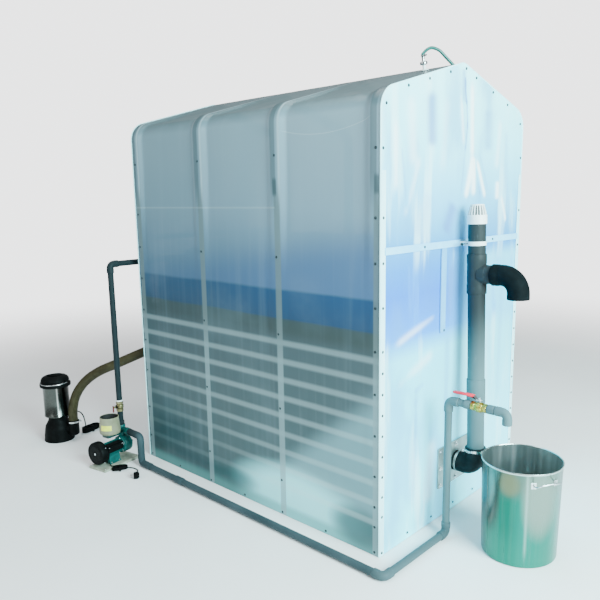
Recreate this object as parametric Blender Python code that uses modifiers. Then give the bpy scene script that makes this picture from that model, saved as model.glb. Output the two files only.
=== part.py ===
"""A family-size biogas digester: a slatted frame with a slurry bag under a clear cover, its pipes,
pump, food-waste disposer, hoses, cords and the bucket at its spout. Metres, +Z up."""

from math import atan, cos, pi, radians, sin, tan

import bmesh
import bpy
from mathutils import Matrix, Vector

# The enclosure: X runs along its length, towards the end with the standpipe
LENGTH = 1.70
WIDTH = 1.20
EAVE_HEIGHT = 1.90
RIDGE_HEIGHT = 2.07
EAVE_RADIUS = 0.10
RIDGE_RADIUS = 0.08
SHEET = 0.003
GAP = 0.0003
WALL_TOP = 1.78

# The frame under the sheets
RAIL_HEIGHT = 0.035
RIB_WIDTH = 0.044
RIB_DEPTH = 0.040
MID_RIB_X = 0.272
SLAT_HEIGHT = 0.060
SLAT_THICKNESS = 0.015
SLAT_PITCH = 0.0888
SLAT_FIRST = 0.0922
SLAT_COUNT = 10
BAG_HEIGHT = 1.10
BAG_CROWN = 0.21

# The bars on the end walls
BAR_THICKNESS = 0.006
BAR_HEIGHT = 1.292
BAR_WIDTH = 0.030
BAR_HALF_SPAN = 0.575
STRAP_WIDTH = 0.042
STRAP_Y = -0.138
STRAP_FOOT = 0.90

# The standpipe, in its own frame that leans a little towards the wall
STAND_X = 0.962
STAND_Z = 0.310
STAND_FOOT = 0.033
STAND_LEAN = radians(1.5)
STAND_RADIUS = 0.0390
COUPLER_RADIUS = 0.0425
COUPLER_LOW = 0.245
COUPLER_HIGH = 0.362
TEE_RADIUS = 0.0440
TEE_LOW = 0.758
TEE_HIGH = 0.935
BRANCH_HEIGHT = 0.845
BRANCH_REACH = 0.078
ELBOW_REACH = 0.197
ELBOW_BEND = 0.075
ELBOW_DROP = 0.102
ELBOW_BORE = 0.041
ELBOW_BORE_DEPTH = 0.026
CAP_LOW = 1.068
CAP_TOP = 1.155
RUBBER_RADIUS = 0.048
FOOT_RADIUS = 0.049
FOOT_BEND = 0.056
PLATE_HALF_WIDTH = 0.155
PLATE_LOW = 0.15
PLATE_HIGH = 0.35
PLATE_THICKNESS = 0.008

# The slurry line of small pipe
PIPE_RADIUS = 0.0165
SOCKET = 1.22
SOCKET_LENGTH = 0.026
BEND = 0.024
FLOOR_PIPE_Y = -0.725
FLOOR_PIPE_X = 0.966
DROP_X = -0.745
RISER_Y = -0.260
OUTLET_HEIGHT = 0.636
VALVE_START = 1.076
VALVE_END = 1.147
SPOUT_X = 1.235
SPOUT_LOW = 0.588
SPOUT_BORE = 0.012
OUTLET_PIPE_RADIUS = 0.0195

# The pump, in a frame that stands on the floor under its inlet pipe
PUMP_X = -0.945
PUMP_Y = -0.725
PUMP_TURN = radians(10)
SHAFT_X = 0.012
SHAFT_HEIGHT = 0.092
MOTOR_RADIUS = 0.041
MOTOR_END = -0.165
FAN_RADIUS = 0.066
FAN_DEPTH = 0.043
HEAD_RADIUS = 0.051
BOARD_LOW = (-0.0415, -0.214)
BOARD_HIGH = (0.0935, 0.048)
BOARD_THICKNESS = 0.014
NECK_TOP = 0.205
PUMP_OUTLET_HEIGHT = 0.178
PUMP_OUTLET_X = -0.860
POT_X = 0.0046
POT_Y = -0.0860
POT_LOW = 0.180
POT_TOP = 0.280
POT_RADIUS = 0.060
POT_RIM = 0.054

# The rear pipe down to the pump
REAR_PIPE_HEIGHT = 1.150
REAR_PIPE_ENTRY_Y = -0.30
REAR_VALVE_LOW = 0.286
REAR_VALVE_TOP = 0.346
REAR_LEVER_Y = -0.768

# The food-waste disposer
DISPOSER_X = -1.527
DISPOSER_Y = -0.831
DISPOSER_HEIGHT = 0.425
HOSE_RADIUS = 0.029
HOSE_FOOT = (-1.424, -0.781)
HOSE_EXIT_Y = -0.420

# The pump's coiled lead
HANK_AT = (-0.789, -0.841, 0.0128)
PUMP_PLUG_AT = (-0.6264, -0.8363, 0.0150)
PUMP_PLUG_TURN = radians(-32)
CORD_RADIUS = 0.003
HANK_TURN = radians(60)
HANK_HALF = 0.044

# The gas outlet on the roof
GAS_X = 0.700
GAS_Y = -0.080

# The bucket
BUCKET_X = 1.254
BUCKET_Y = -0.145
BUCKET_HEIGHT = 0.414
BUCKET_RADIUS = 0.164
BUCKET_FOOT_RADIUS = 0.155
BUCKET_WALL = 0.0025
HANDLE_SPREAD = radians(18)

HALF_LENGTH = LENGTH / 2
HALF_WIDTH = WIDTH / 2
ROOF_SLOPE = (RIDGE_HEIGHT - EAVE_HEIGHT) / HALF_WIDTH
ROOF_ANGLE = atan(ROOF_SLOPE)
END_WALL = HALF_LENGTH + GAP

# A flat outline lies in its own XY plane; these turn it to face along X or along Y
FACING_X = Matrix(((0, 0, 1), (1, 0, 0), (0, 1, 0))).to_4x4()
FACING_Y = Matrix(((1, 0, 0), (0, 0, -1), (0, 1, 0))).to_4x4()

for old in list(bpy.data.objects):
    bpy.data.objects.remove(old, do_unlink=True)

PARTS = bpy.data.collections.new("biogas_digester")
CUTTERS = bpy.data.collections.new("cutters")
bpy.context.scene.collection.children.link(PARTS)
bpy.context.scene.collection.children.link(CUTTERS)


def material(name, colour, roughness=0.5, metallic=0.0):
    """A Principled material of one colour."""
    made = bpy.data.materials.new(name)
    made.use_nodes = True
    shader = made.node_tree.nodes["Principled BSDF"]
    shader.inputs["Base Color"].default_value = (*colour, 1.0)
    shader.inputs["Roughness"].default_value = roughness
    shader.inputs["Metallic"].default_value = metallic
    return made


MILKY = material("milky_sheet", (0.62, 0.76, 0.82), 0.25)
FILM = material("end_film", (0.72, 0.90, 0.95), 0.30)
ZINC = material("zinc_frame", (0.62, 0.67, 0.68), 0.45, 0.6)
BAG = material("bag_blue", (0.10, 0.26, 0.48), 0.50)
WHITE_BAR = material("bar_white", (0.80, 0.88, 0.90), 0.40)
STEEL = material("steel", (0.62, 0.64, 0.65), 0.25, 1.0)
GREY_PIPE = material("grey_pipe", (0.16, 0.21, 0.24), 0.40)
WHITE_PLASTIC = material("white_plastic", (0.82, 0.84, 0.82), 0.40)
RUBBER = material("black_rubber", (0.015, 0.017, 0.018), 0.35)
BRASS = material("brass", (0.70, 0.58, 0.30), 0.30, 1.0)
RED = material("red_lever", (0.75, 0.06, 0.08), 0.35)
GREEN = material("green_enamel", (0.00, 0.28, 0.24), 0.35)
BLACK = material("black_plastic", (0.012, 0.013, 0.014), 0.45)
BEIGE = material("beige", (0.58, 0.56, 0.44), 0.55)
BROWN = material("brown_hose", (0.055, 0.050, 0.025), 0.50)
CHROME = material("dark_chrome", (0.30, 0.30, 0.28), 0.15, 1.0)
GREEN_HOSE = material("green_hose", (0.05, 0.30, 0.18), 0.40)


def empty(name, location, turn=(0.0, 0.0, 0.0)):
    """A guide that carries a group of pieces."""
    made = bpy.data.objects.new(name, None)
    made.location = location
    made.rotation_euler = turn
    PARTS.objects.link(made)
    return made


PUMP_FRAME = empty("pump_frame", (PUMP_X, PUMP_Y, 0.0), (0.0, 0.0, PUMP_TURN))
STAND_FRAME = empty("standpipe_frame", (STAND_X, 0.0, STAND_Z), (0.0, -STAND_LEAN, 0.0))


def place(name, data, look, parent=None, matrix=None):
    """Put mesh or curve data in the parts collection as one named object."""
    made = bpy.data.objects.new(name, data)
    data.materials.append(look)
    if matrix is not None:
        made.matrix_world = matrix
    if parent is not None:
        made.parent = parent
    PARTS.objects.link(made)
    return made


def mesh_from(bm, name, smooth=True):
    """Turn a bmesh into mesh data, smooth where it is round."""
    bmesh.ops.recalc_face_normals(bm, faces=bm.faces)
    data = bpy.data.meshes.new(name)
    bm.to_mesh(data)
    bm.free()
    if smooth:
        data.shade_smooth()
        data.set_sharp_from_angle(angle=radians(35))
    return data


def box_between(bm, low, high):
    """A box from its low corner to its high corner."""
    middle = [(a + b) / 2 for a, b in zip(low, high)]
    size = [b - a for a, b in zip(low, high)]
    matrix = Matrix.Translation(middle) @ Matrix.Diagonal((*size, 1.0))
    bmesh.ops.create_cube(bm, size=1.0, matrix=matrix)


def box(name, low, high, look, parent=None, bevel=0.0):
    """A box in a node of its own, with its edges rounded where bevel is given."""
    bm = bmesh.new()
    box_between(bm, low, high)
    made = place(name, mesh_from(bm, name, smooth=False), look, parent)
    if bevel:
        rounded = made.modifiers.new("rounded", "BEVEL")
        rounded.width = bevel
        rounded.segments = 2
    return made


def rod_between(bm, start, end, radius, sides=24, end_radius=None):
    """A round bar between two points, which tapers where end_radius is given."""
    start = Vector(start)
    along = Vector(end) - start
    turn = Vector((0, 0, 1)).rotation_difference(along.normalized()).to_matrix().to_4x4()
    matrix = Matrix.Translation(start + along / 2) @ turn
    bmesh.ops.create_cone(bm, cap_ends=True, segments=sides, radius1=radius,
                          radius2=radius if end_radius is None else end_radius,
                          depth=along.length, matrix=matrix)


def rod(name, start, end, radius, look, parent=None, sides=24, end_radius=None):
    """A round bar in a node of its own."""
    bm = bmesh.new()
    rod_between(bm, start, end, radius, sides, end_radius)
    return place(name, mesh_from(bm, name), look, parent)


def turned(name, profile, look, parent=None, matrix=None, steps=32):
    """A solid of revolution from (radius, height) points that run from the top axis point down."""
    bm = bmesh.new()
    points = [bm.verts.new((radius, 0.0, height)) for radius, height in profile]
    for a, b in zip(points, points[1:]):
        bm.edges.new((a, b))
    data = bpy.data.meshes.new(name)
    bm.to_mesh(data)
    bm.free()
    made = place(name, data, look, parent, matrix)
    screw = made.modifiers.new("turned", "SCREW")
    screw.steps = steps
    screw.render_steps = steps
    screw.use_merge_vertices = True
    screw.merge_threshold = 0.00005
    screw.use_smooth_shade = True
    return made


def flat(name, outlines, thickness, look, matrix, parent=None):
    """A flat piece: its first outline is the rim, and the others are holes."""
    data = bpy.data.curves.new(name, "CURVE")
    data.dimensions = "2D"
    data.fill_mode = "BOTH"
    data.extrude = thickness / 2
    for outline in outlines:
        spline = data.splines.new("POLY")
        spline.points.add(len(outline) - 1)
        spline.use_cyclic_u = True
        for point, (x, y) in zip(spline.points, outline):
            point.co = (x, y, 0.0, 1.0)
    return place(name, data, look, parent, matrix)


def tube(name, route, radius, look, parent=None, resolution=6):
    """A round tube along a route of (point, radius factor) pairs or plain points."""
    data = bpy.data.curves.new(name, "CURVE")
    data.dimensions = "3D"
    data.fill_mode = "FULL"
    data.bevel_depth = radius
    data.bevel_resolution = resolution
    data.use_fill_caps = True
    spline = data.splines.new("POLY")
    spline.points.add(len(route) - 1)
    for point, step in zip(spline.points, route):
        place_at, factor = step if isinstance(step[0], (tuple, Vector)) else (step, 1.0)
        point.co = (*place_at, 1.0)
        point.radius = factor
    spline.use_smooth = True
    return place(name, data, look, parent)


def as_mesh(made):
    """Replace a curve object by the closed mesh that it makes."""
    name = made.name
    look = made.data.materials[0]
    graph = bpy.context.evaluated_depsgraph_get()
    data = bpy.data.meshes.new_from_object(made.evaluated_get(graph))
    matrix = made.matrix_world.copy()
    curve = made.data
    bpy.data.objects.remove(made, do_unlink=True)
    bpy.data.curves.remove(curve)
    bm = bmesh.new()
    bm.from_mesh(data)
    bmesh.ops.remove_doubles(bm, verts=bm.verts, dist=0.00005)
    bmesh.ops.recalc_face_normals(bm, faces=bm.faces)
    bm.to_mesh(data)
    bm.free()
    data.name = name
    data.materials.clear()
    return place(name, data, look, None, matrix)


def combine(made, tool, operation):
    """Join a tool to a piece, or cut it out of the piece, with an exact Boolean."""
    PARTS.objects.unlink(tool)
    CUTTERS.objects.link(tool)
    tool.hide_render = True
    tool.display_type = "WIRE"
    step = made.modifiers.new(operation.lower(), "BOOLEAN")
    step.operation = operation
    step.solver = "EXACT"
    step.object = tool


def arc(centre, radius, start, end, steps):
    """Points on an arc in a plane, from one angle to another."""
    turn = (end - start) / steps
    return [(centre[0] + radius * cos(start + turn * i), centre[1] + radius * sin(start + turn * i))
            for i in range(steps + 1)]


def rounded_rectangle(half_x, half_y, radius, steps=6):
    """The outline of a rectangle about the origin with round corners."""
    corners = ((half_x - radius, half_y - radius, 0.0), (radius - half_x, half_y - radius, pi / 2),
               (radius - half_x, radius - half_y, pi), (half_x - radius, radius - half_y, 1.5 * pi))
    outline = []
    for x, y, start in corners:
        outline += arc((x, y), radius, start, start + pi / 2, steps)
    return outline


def portal(inset, foot):
    """The gable-shaped line from the near foot over the ridge to the far foot, inset from the outside."""
    angle = ROOF_ANGLE
    wall = HALF_WIDTH - inset
    roof_drop = inset / cos(angle)
    eave = EAVE_HEIGHT + inset * ROOF_SLOPE - roof_drop
    ridge = RIDGE_HEIGHT - roof_drop
    eave_radius = EAVE_RADIUS - inset
    ridge_radius = RIDGE_RADIUS - inset
    eave_back = eave_radius * tan((pi / 2 - angle) / 2)
    eave_centre = (-wall + eave_radius, eave - eave_back)
    line = [(-wall, foot)]
    line += arc(eave_centre, eave_radius, pi, pi / 2 + angle, 6)
    line += arc((0.0, ridge - ridge_radius / cos(angle)), ridge_radius, pi / 2 + angle, pi / 2, 3)
    return line + [(-y, z) for y, z in reversed(line[:-1])]


def smooth_path(points, spacing):
    """Evenly spaced points on a Catmull-Rom curve through the given points."""
    knots = [Vector(p) for p in points]
    knots = [2 * knots[0] - knots[1]] + knots + [2 * knots[-1] - knots[-2]]
    fine = []
    for a, b, c, d in zip(knots, knots[1:], knots[2:], knots[3:]):
        for i in range(24):
            t = i / 24
            fine.append(0.5 * (2 * b + (c - a) * t + (2 * a - 5 * b + 4 * c - d) * t ** 2
                               + (3 * b - a - 3 * c + d) * t ** 3))
    fine.append(knots[-2])
    total = sum((b - a).length for a, b in zip(fine, fine[1:]))
    count = max(2, round(total / spacing))
    step = total / count
    path = [fine[0]]
    travelled = 0.0
    for a, b in zip(fine, fine[1:]):
        length = (b - a).length
        while len(path) < count and travelled + length >= step * len(path):
            path.append(a.lerp(b, (step * len(path) - travelled) / length))
        travelled += length
    return path + [fine[-1]]


def square_path(points, spacing):
    """A smooth path whose first and last stretches stay straight, so that the ends sit square."""
    return [Vector(points[0])] + smooth_path(points[1:-1], spacing) + [Vector(points[-1])]


def fitted_route(corners, bend=BEND):
    """The route of a pipe with a bulged elbow at each inner corner, as (point, radius factor)."""
    points = [Vector(p) for p in corners]
    step = 0.0004
    route = [(points[0], 1.0)]
    for before, here, after in zip(points, points[1:], points[2:]):
        into = (here - before).normalized()
        out = (after - here).normalized()
        half = into.angle(out) / 2
        back = bend * tan(half)
        start = here - into * back
        centre = start + (out - into * out.dot(into)).normalized() * bend
        axis = into.cross(out).normalized()
        socket = back + SOCKET_LENGTH
        route += [(here - into * (socket + step), 1.0), (here - into * socket, SOCKET)]
        for i in range(7):
            turn = Matrix.Rotation(2 * half * i / 6, 3, axis)
            route.append((centre + turn @ (start - centre), SOCKET))
        route += [(here + out * socket, SOCKET), (here + out * (socket + step), 1.0)]
    return route + [(points[-1], 1.0)]


def make_frame():
    """The base ring, four portal ribs and the slatted long walls."""
    outer_x = HALF_LENGTH - SHEET - GAP
    outer_y = HALF_WIDTH - SHEET - GAP
    rim = [(-outer_x, -outer_y), (outer_x, -outer_y), (outer_x, outer_y), (-outer_x, outer_y)]
    inner_x = outer_x - RIB_WIDTH
    inner_y = outer_y - RIB_DEPTH
    hole = [(-inner_x, -inner_y), (inner_x, -inner_y), (inner_x, inner_y), (-inner_x, inner_y)]
    flat("base_frame", [rim, hole], RAIL_HEIGHT, ZINC, Matrix.Translation((0, 0, RAIL_HEIGHT / 2)))
    end_rib_x = outer_x - RIB_WIDTH / 2
    foot = RAIL_HEIGHT + GAP
    outside = portal(SHEET + GAP, foot)
    inside = portal(SHEET + GAP + RIB_DEPTH, foot)
    places = {"rear": -end_rib_x, "mid_rear": -MID_RIB_X, "mid_front": MID_RIB_X, "front": end_rib_x}
    for side, x in places.items():
        matrix = Matrix.Translation((x, 0, 0)) @ FACING_X
        flat(f"rib_{side}", [outside + inside[::-1]], RIB_WIDTH, ZINC, matrix)
    slat_top = SLAT_FIRST + SLAT_PITCH * (SLAT_COUNT - 1) + SLAT_HEIGHT / 2
    slat_low = SLAT_FIRST - SLAT_HEIGHT / 2
    rim = [(-outer_x, slat_low), (outer_x, slat_low), (outer_x, slat_top), (-outer_x, slat_top)]
    posts = sorted(places.values())
    holes = []
    for left, right in zip(posts, posts[1:]):
        for row in range(SLAT_COUNT - 1):
            low = SLAT_FIRST + SLAT_PITCH * row + SLAT_HEIGHT / 2
            high = low + SLAT_PITCH - SLAT_HEIGHT
            start = left + RIB_WIDTH / 2
            end = right - RIB_WIDTH / 2
            holes.append([(start, low), (end, low), (end, high), (start, high)])
    slat_y = inner_y - GAP - SLAT_THICKNESS / 2
    for name, y in (("slats_near", -slat_y), ("slats_far", slat_y)):
        flat(name, [rim] + holes, SLAT_THICKNESS, ZINC, Matrix.Translation((0, y, 0)) @ FACING_Y)
    bag_x = inner_x - GAP
    bag_y = slat_y - SLAT_THICKNESS / 2 - GAP
    make_bag(bag_x, bag_y)


def make_bag(half_x, half_y):
    """The slurry bag: straight sides and a crowned top that the gas lifts."""
    bm = bmesh.new()
    bmesh.ops.create_grid(bm, x_segments=24, y_segments=16, size=1.0)
    rim = [edge for edge in bm.edges if edge.is_boundary]
    for vertex in bm.verts:
        u, v = vertex.co.x, vertex.co.y
        lift = BAG_CROWN * ((1 - u ** 6) * (1 - v ** 4)) ** 0.7
        vertex.co = (u * half_x, v * half_y, BAG_HEIGHT + lift)
    walls = bmesh.ops.extrude_edge_only(bm, edges=rim)["geom"]
    feet = [item for item in walls if isinstance(item, bmesh.types.BMVert)]
    for vertex in feet:
        vertex.co.z = 0.0
    floor_edges = [item for item in walls if isinstance(item, bmesh.types.BMEdge)]
    bmesh.ops.contextual_create(bm, geom=floor_edges)
    place("slurry_bag", mesh_from(bm, "slurry_bag"), BAG)


def make_cover():
    """The clear sheets of the long sides, the roof and both ends."""
    inner_x = HALF_LENGTH - SHEET - GAP
    low = 0.002
    for name, side in (("side_sheet_near", -1), ("side_sheet_far", 1)):
        outer = side * HALF_WIDTH
        inner = side * (HALF_WIDTH - SHEET)
        box(name, (-inner_x, min(outer, inner), low), (inner_x, max(outer, inner), WALL_TOP), MILKY)
    outside = portal(0.0, WALL_TOP + GAP)
    inside = portal(SHEET, WALL_TOP + GAP)
    flat("roof_sheet", [outside + inside[::-1]], 2 * inner_x, MILKY, FACING_X)
    for name, side in (("end_sheet_front", 1), ("end_sheet_rear", -1)):
        matrix = Matrix.Translation((side * (HALF_LENGTH - SHEET / 2), 0, 0)) @ FACING_X
        flat(name, [portal(0.0, low)], SHEET, FILM, matrix)


def make_end_bars():
    """The flat bars screwed across the end walls."""
    face = END_WALL + BAR_THICKNESS
    half = BAR_WIDTH / 2
    for name, near, far in (("front_bar", END_WALL, face), ("rear_bar", -face, -END_WALL)):
        box(name, (near, -BAR_HALF_SPAN, BAR_HEIGHT - half), (far, BAR_HALF_SPAN, BAR_HEIGHT + half),
            WHITE_BAR)
    left = STRAP_Y - STRAP_WIDTH / 2
    box("front_strap", (END_WALL, left, STRAP_FOOT),
        (face, left + STRAP_WIDTH, BAR_HEIGHT - half - GAP), WHITE_BAR)


def make_standpipe():
    """The overflow standpipe with its tee, vent cap and black rubber elbows."""
    box("outlet_plate", (END_WALL, -PLATE_HALF_WIDTH, PLATE_LOW),
        (END_WALL + PLATE_THICKNESS, PLATE_HALF_WIDTH, PLATE_HIGH), STEEL)
    start_x = END_WALL + PLATE_THICKNESS + GAP
    middle = (PLATE_LOW + PLATE_HIGH) / 2
    lean = Vector((-sin(STAND_LEAN), 0, cos(STAND_LEAN)))
    top = Vector((STAND_X, 0, STAND_Z)) + lean * (STAND_FOOT - GAP)
    bend = FOOT_BEND
    end_x = top.x - lean.x * (top.z - middle - bend)
    route = [(start_x, 0, middle)]
    for i in range(9):
        a = pi / 2 * i / 8
        route.append((end_x - bend + bend * sin(a), 0, middle + bend - bend * cos(a)))
    tube("foot_elbow", route + [top], FOOT_RADIUS, RUBBER, resolution=8)
    lower = [(0, TEE_LOW - GAP), (STAND_RADIUS, TEE_LOW - GAP), (STAND_RADIUS, COUPLER_HIGH),
             (COUPLER_RADIUS, COUPLER_HIGH - 0.002), (COUPLER_RADIUS, COUPLER_LOW + 0.002),
             (STAND_RADIUS, COUPLER_LOW), (STAND_RADIUS, STAND_FOOT), (0, STAND_FOOT)]
    turned("standpipe_lower", lower, GREY_PIPE, STAND_FRAME)
    tee = rod("standpipe_tee", (0, 0, TEE_LOW), (0, 0, TEE_HIGH), TEE_RADIUS, GREY_PIPE,
              STAND_FRAME, sides=32)
    out = Vector((1, 0, 0))
    across = Vector((0, 0, BRANCH_HEIGHT))
    branch = rod("tee_branch", across + out * 0.005, across + out * BRANCH_REACH, TEE_RADIUS * 0.98,
                 GREY_PIPE, STAND_FRAME, sides=32)
    combine(tee, branch, "UNION")
    rod("standpipe_upper", (0, 0, TEE_HIGH + GAP), (0, 0, CAP_LOW - GAP), STAND_RADIUS, GREY_PIPE,
        STAND_FRAME, sides=32)
    cap = [(0, CAP_TOP), (0.026, CAP_TOP), (0.031, CAP_TOP - 0.004), (0.040, CAP_LOW + 0.040),
           (0.0435, CAP_LOW + 0.040), (0.0435, CAP_LOW), (0, CAP_LOW)]
    turned("vent_cap", cap, WHITE_PLASTIC, STAND_FRAME)
    knee = across + out * ELBOW_REACH
    bend = ELBOW_BEND
    route = [across + out * (BRANCH_REACH + GAP)]
    for i in range(9):
        a = pi / 2 * i / 8
        route.append(knee - out * (bend - bend * sin(a)) - Vector((0, 0, bend - bend * cos(a))))
    route.append(knee - Vector((0, 0, ELBOW_DROP)))
    elbow = as_mesh(tube("side_elbow", route, RUBBER_RADIUS, RUBBER, resolution=8))
    elbow.parent = STAND_FRAME
    mouth = knee - Vector((0, 0, ELBOW_DROP))
    bore = rod("elbow_bore", mouth - Vector((0, 0, 0.01)), mouth + Vector((0, 0, ELBOW_BORE_DEPTH)),
               ELBOW_BORE, RUBBER, STAND_FRAME, sides=32)
    combine(elbow, bore, "DIFFERENCE")
    make_pipe_strap()


def make_pipe_strap():
    """The band that holds the standpipe to the front bar."""
    middle = (BAR_HEIGHT - STAND_Z) / cos(STAND_LEAN)
    low = middle - 0.009
    high = middle + 0.009
    hole = STAND_RADIUS + GAP
    back = STAND_X - (END_WALL + BAR_THICKNESS) - high * tan(STAND_LEAN) - 0.0012
    strap = rod("pipe_strap", (0, 0, low), (0, 0, high), STAND_RADIUS + 0.0025, WHITE_PLASTIC,
                STAND_FRAME, sides=32)
    bm = bmesh.new()
    box_between(bm, (-back, -0.012, low), (-STAND_RADIUS, 0.012, high))
    stem = place("strap_stem", mesh_from(bm, "strap_stem", smooth=False), WHITE_PLASTIC, STAND_FRAME)
    combine(strap, stem, "UNION")
    bore = rod("strap_bore", (0, 0, low - 0.01), (0, 0, high + 0.01), hole, WHITE_PLASTIC,
               STAND_FRAME, sides=32)
    combine(strap, bore, "DIFFERENCE")


def pump_point(x, y, z):
    """A point of the pump's own frame, in the world."""
    turned_point = Matrix.Rotation(PUMP_TURN, 3, "Z") @ Vector((x, y, z))
    return turned_point + Vector((PUMP_X, PUMP_Y, 0))


def make_slurry_line():
    """The small pipe from the pump along the floor to the valve and spout over the bucket."""
    floor_z = PIPE_RADIUS * SOCKET
    start = Vector((PUMP_OUTLET_X + GAP, FLOOR_PIPE_Y, PUMP_OUTLET_HEIGHT))
    split = 0.09
    drop = Vector((DROP_X, FLOOR_PIPE_Y, floor_z))
    corner = Vector((FLOOR_PIPE_X, FLOOR_PIPE_Y, floor_z))
    foot = Vector((FLOOR_PIPE_X, RISER_Y, floor_z))
    top = Vector((FLOOR_PIPE_X, RISER_Y, OUTLET_HEIGHT))
    along = Vector((1, 0, 0))
    up = Vector((0, 0, 1))
    high = Vector((DROP_X, FLOOR_PIPE_Y, PUMP_OUTLET_HEIGHT))
    route = fitted_route([start, high, drop, drop + along * split])
    route = [(point, min(factor, floor_z / OUTLET_PIPE_RADIUS)) for point, factor in route]
    tube("pump_outlet_pipe", route, OUTLET_PIPE_RADIUS, GREY_PIPE)
    side_start = drop + along * (split + GAP)
    tube("floor_pipe_side", fitted_route([side_start, corner, corner + Vector((0, split, 0))]),
         PIPE_RADIUS, GREY_PIPE)
    end_start = corner + Vector((0, split + GAP, 0))
    tube("floor_pipe_end", fitted_route([end_start, foot, foot + up * split]), PIPE_RADIUS, GREY_PIPE)
    valve = Vector((VALVE_START - GAP, RISER_Y, OUTLET_HEIGHT))
    tube("riser_pipe", fitted_route([foot + up * (split + GAP), top, valve]), PIPE_RADIUS, GREY_PIPE)
    spout_start = Vector((VALVE_END + GAP, RISER_Y, OUTLET_HEIGHT))
    knee = Vector((SPOUT_X, RISER_Y, OUTLET_HEIGHT))
    mouth = Vector((SPOUT_X, RISER_Y, SPOUT_LOW))
    route = fitted_route([spout_start, knee, mouth - up * 0.05])
    route = [step for step in route if step[0].z >= SPOUT_LOW + 0.001] + [(mouth, SOCKET)]
    spout = as_mesh(tube("spout", route, PIPE_RADIUS, GREY_PIPE))
    bore = rod("spout_bore", mouth - up * 0.02, mouth + up * 0.030, SPOUT_BORE, GREY_PIPE, sides=16)
    combine(spout, bore, "DIFFERENCE")
    make_front_valve()


def valve_profile(length, radius):
    """Half the outline of a ball valve: a hexagon-like end, a waist and the round body."""
    end = length * 0.24
    return [(0, length), (radius * 0.84, length), (radius * 0.84, length - end),
            (radius * 0.70, length - end - 0.002), (radius, length * 0.62), (radius, length * 0.38),
            (radius * 0.70, end + 0.002), (radius * 0.84, end), (radius * 0.84, 0), (0, 0)]


def make_front_valve():
    """The brass ball valve over the bucket and its red lever."""
    length = VALVE_END - VALVE_START
    matrix = Matrix.Translation((VALVE_START, RISER_Y, OUTLET_HEIGHT)) @ Matrix.Rotation(pi / 2, 4, "Y")
    body = turned("front_valve", valve_profile(length, 0.022), BRASS, matrix=matrix, steps=24)
    pivot_x = (VALVE_START + VALVE_END) / 2
    stem = rod("front_stem", (pivot_x, RISER_Y, OUTLET_HEIGHT + 0.012),
               (pivot_x, RISER_Y, OUTLET_HEIGHT + 0.0287), 0.007, BRASS, sides=16)
    combine(body, stem, "UNION")
    low = OUTLET_HEIGHT + 0.029
    lever = [(pivot_x + 0.010, low), (pivot_x + 0.010, low + 0.004), (pivot_x - 0.012, low + 0.004),
             (pivot_x - 0.026, low + 0.018), (pivot_x - 0.125, low + 0.018),
             (pivot_x - 0.125, low + 0.011), (pivot_x - 0.023, low + 0.011), (pivot_x - 0.012, low)]
    origin = Matrix.Translation((pivot_x, RISER_Y, 0)) @ FACING_Y
    local = [(x - pivot_x, z) for x, z in lever]
    flat("front_valve_lever", [local], 0.020, RED, origin)


def make_rear_line():
    """The pipe from the rear wall down through a valve to the pump."""
    start = (-END_WALL - GAP, REAR_PIPE_ENTRY_Y, REAR_PIPE_HEIGHT)
    route = fitted_route([start, (PUMP_X, REAR_PIPE_ENTRY_Y, REAR_PIPE_HEIGHT),
                          (PUMP_X, PUMP_Y, REAR_PIPE_HEIGHT), (PUMP_X, PUMP_Y, REAR_VALVE_TOP + GAP)])
    tube("rear_pipe", route, PIPE_RADIUS, GREY_PIPE)
    matrix = Matrix.Translation((PUMP_X, PUMP_Y, REAR_VALVE_LOW))
    body = turned("rear_valve", valve_profile(REAR_VALVE_TOP - REAR_VALVE_LOW, 0.021), BRASS,
                  matrix=matrix, steps=24)
    middle = (REAR_VALVE_LOW + REAR_VALVE_TOP) / 2
    stem = rod("rear_stem", (PUMP_X, PUMP_Y - 0.012, middle), (PUMP_X, REAR_LEVER_Y + 0.0028, middle),
               0.007, BRASS, sides=16)
    combine(body, stem, "UNION")
    rod("pump_inlet_pipe", (PUMP_X, PUMP_Y, NECK_TOP + GAP), (PUMP_X, PUMP_Y, REAR_VALVE_LOW - GAP),
        PIPE_RADIUS, GREY_PIPE)
    half = 0.006
    outline = [(-half, 0.010), (half, 0.010), (half, -0.030), (-half, -0.030)]
    flat("rear_valve_lever", [outline], 0.005, RED,
         Matrix.Translation((PUMP_X, REAR_LEVER_Y, middle)) @ FACING_Y)


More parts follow.
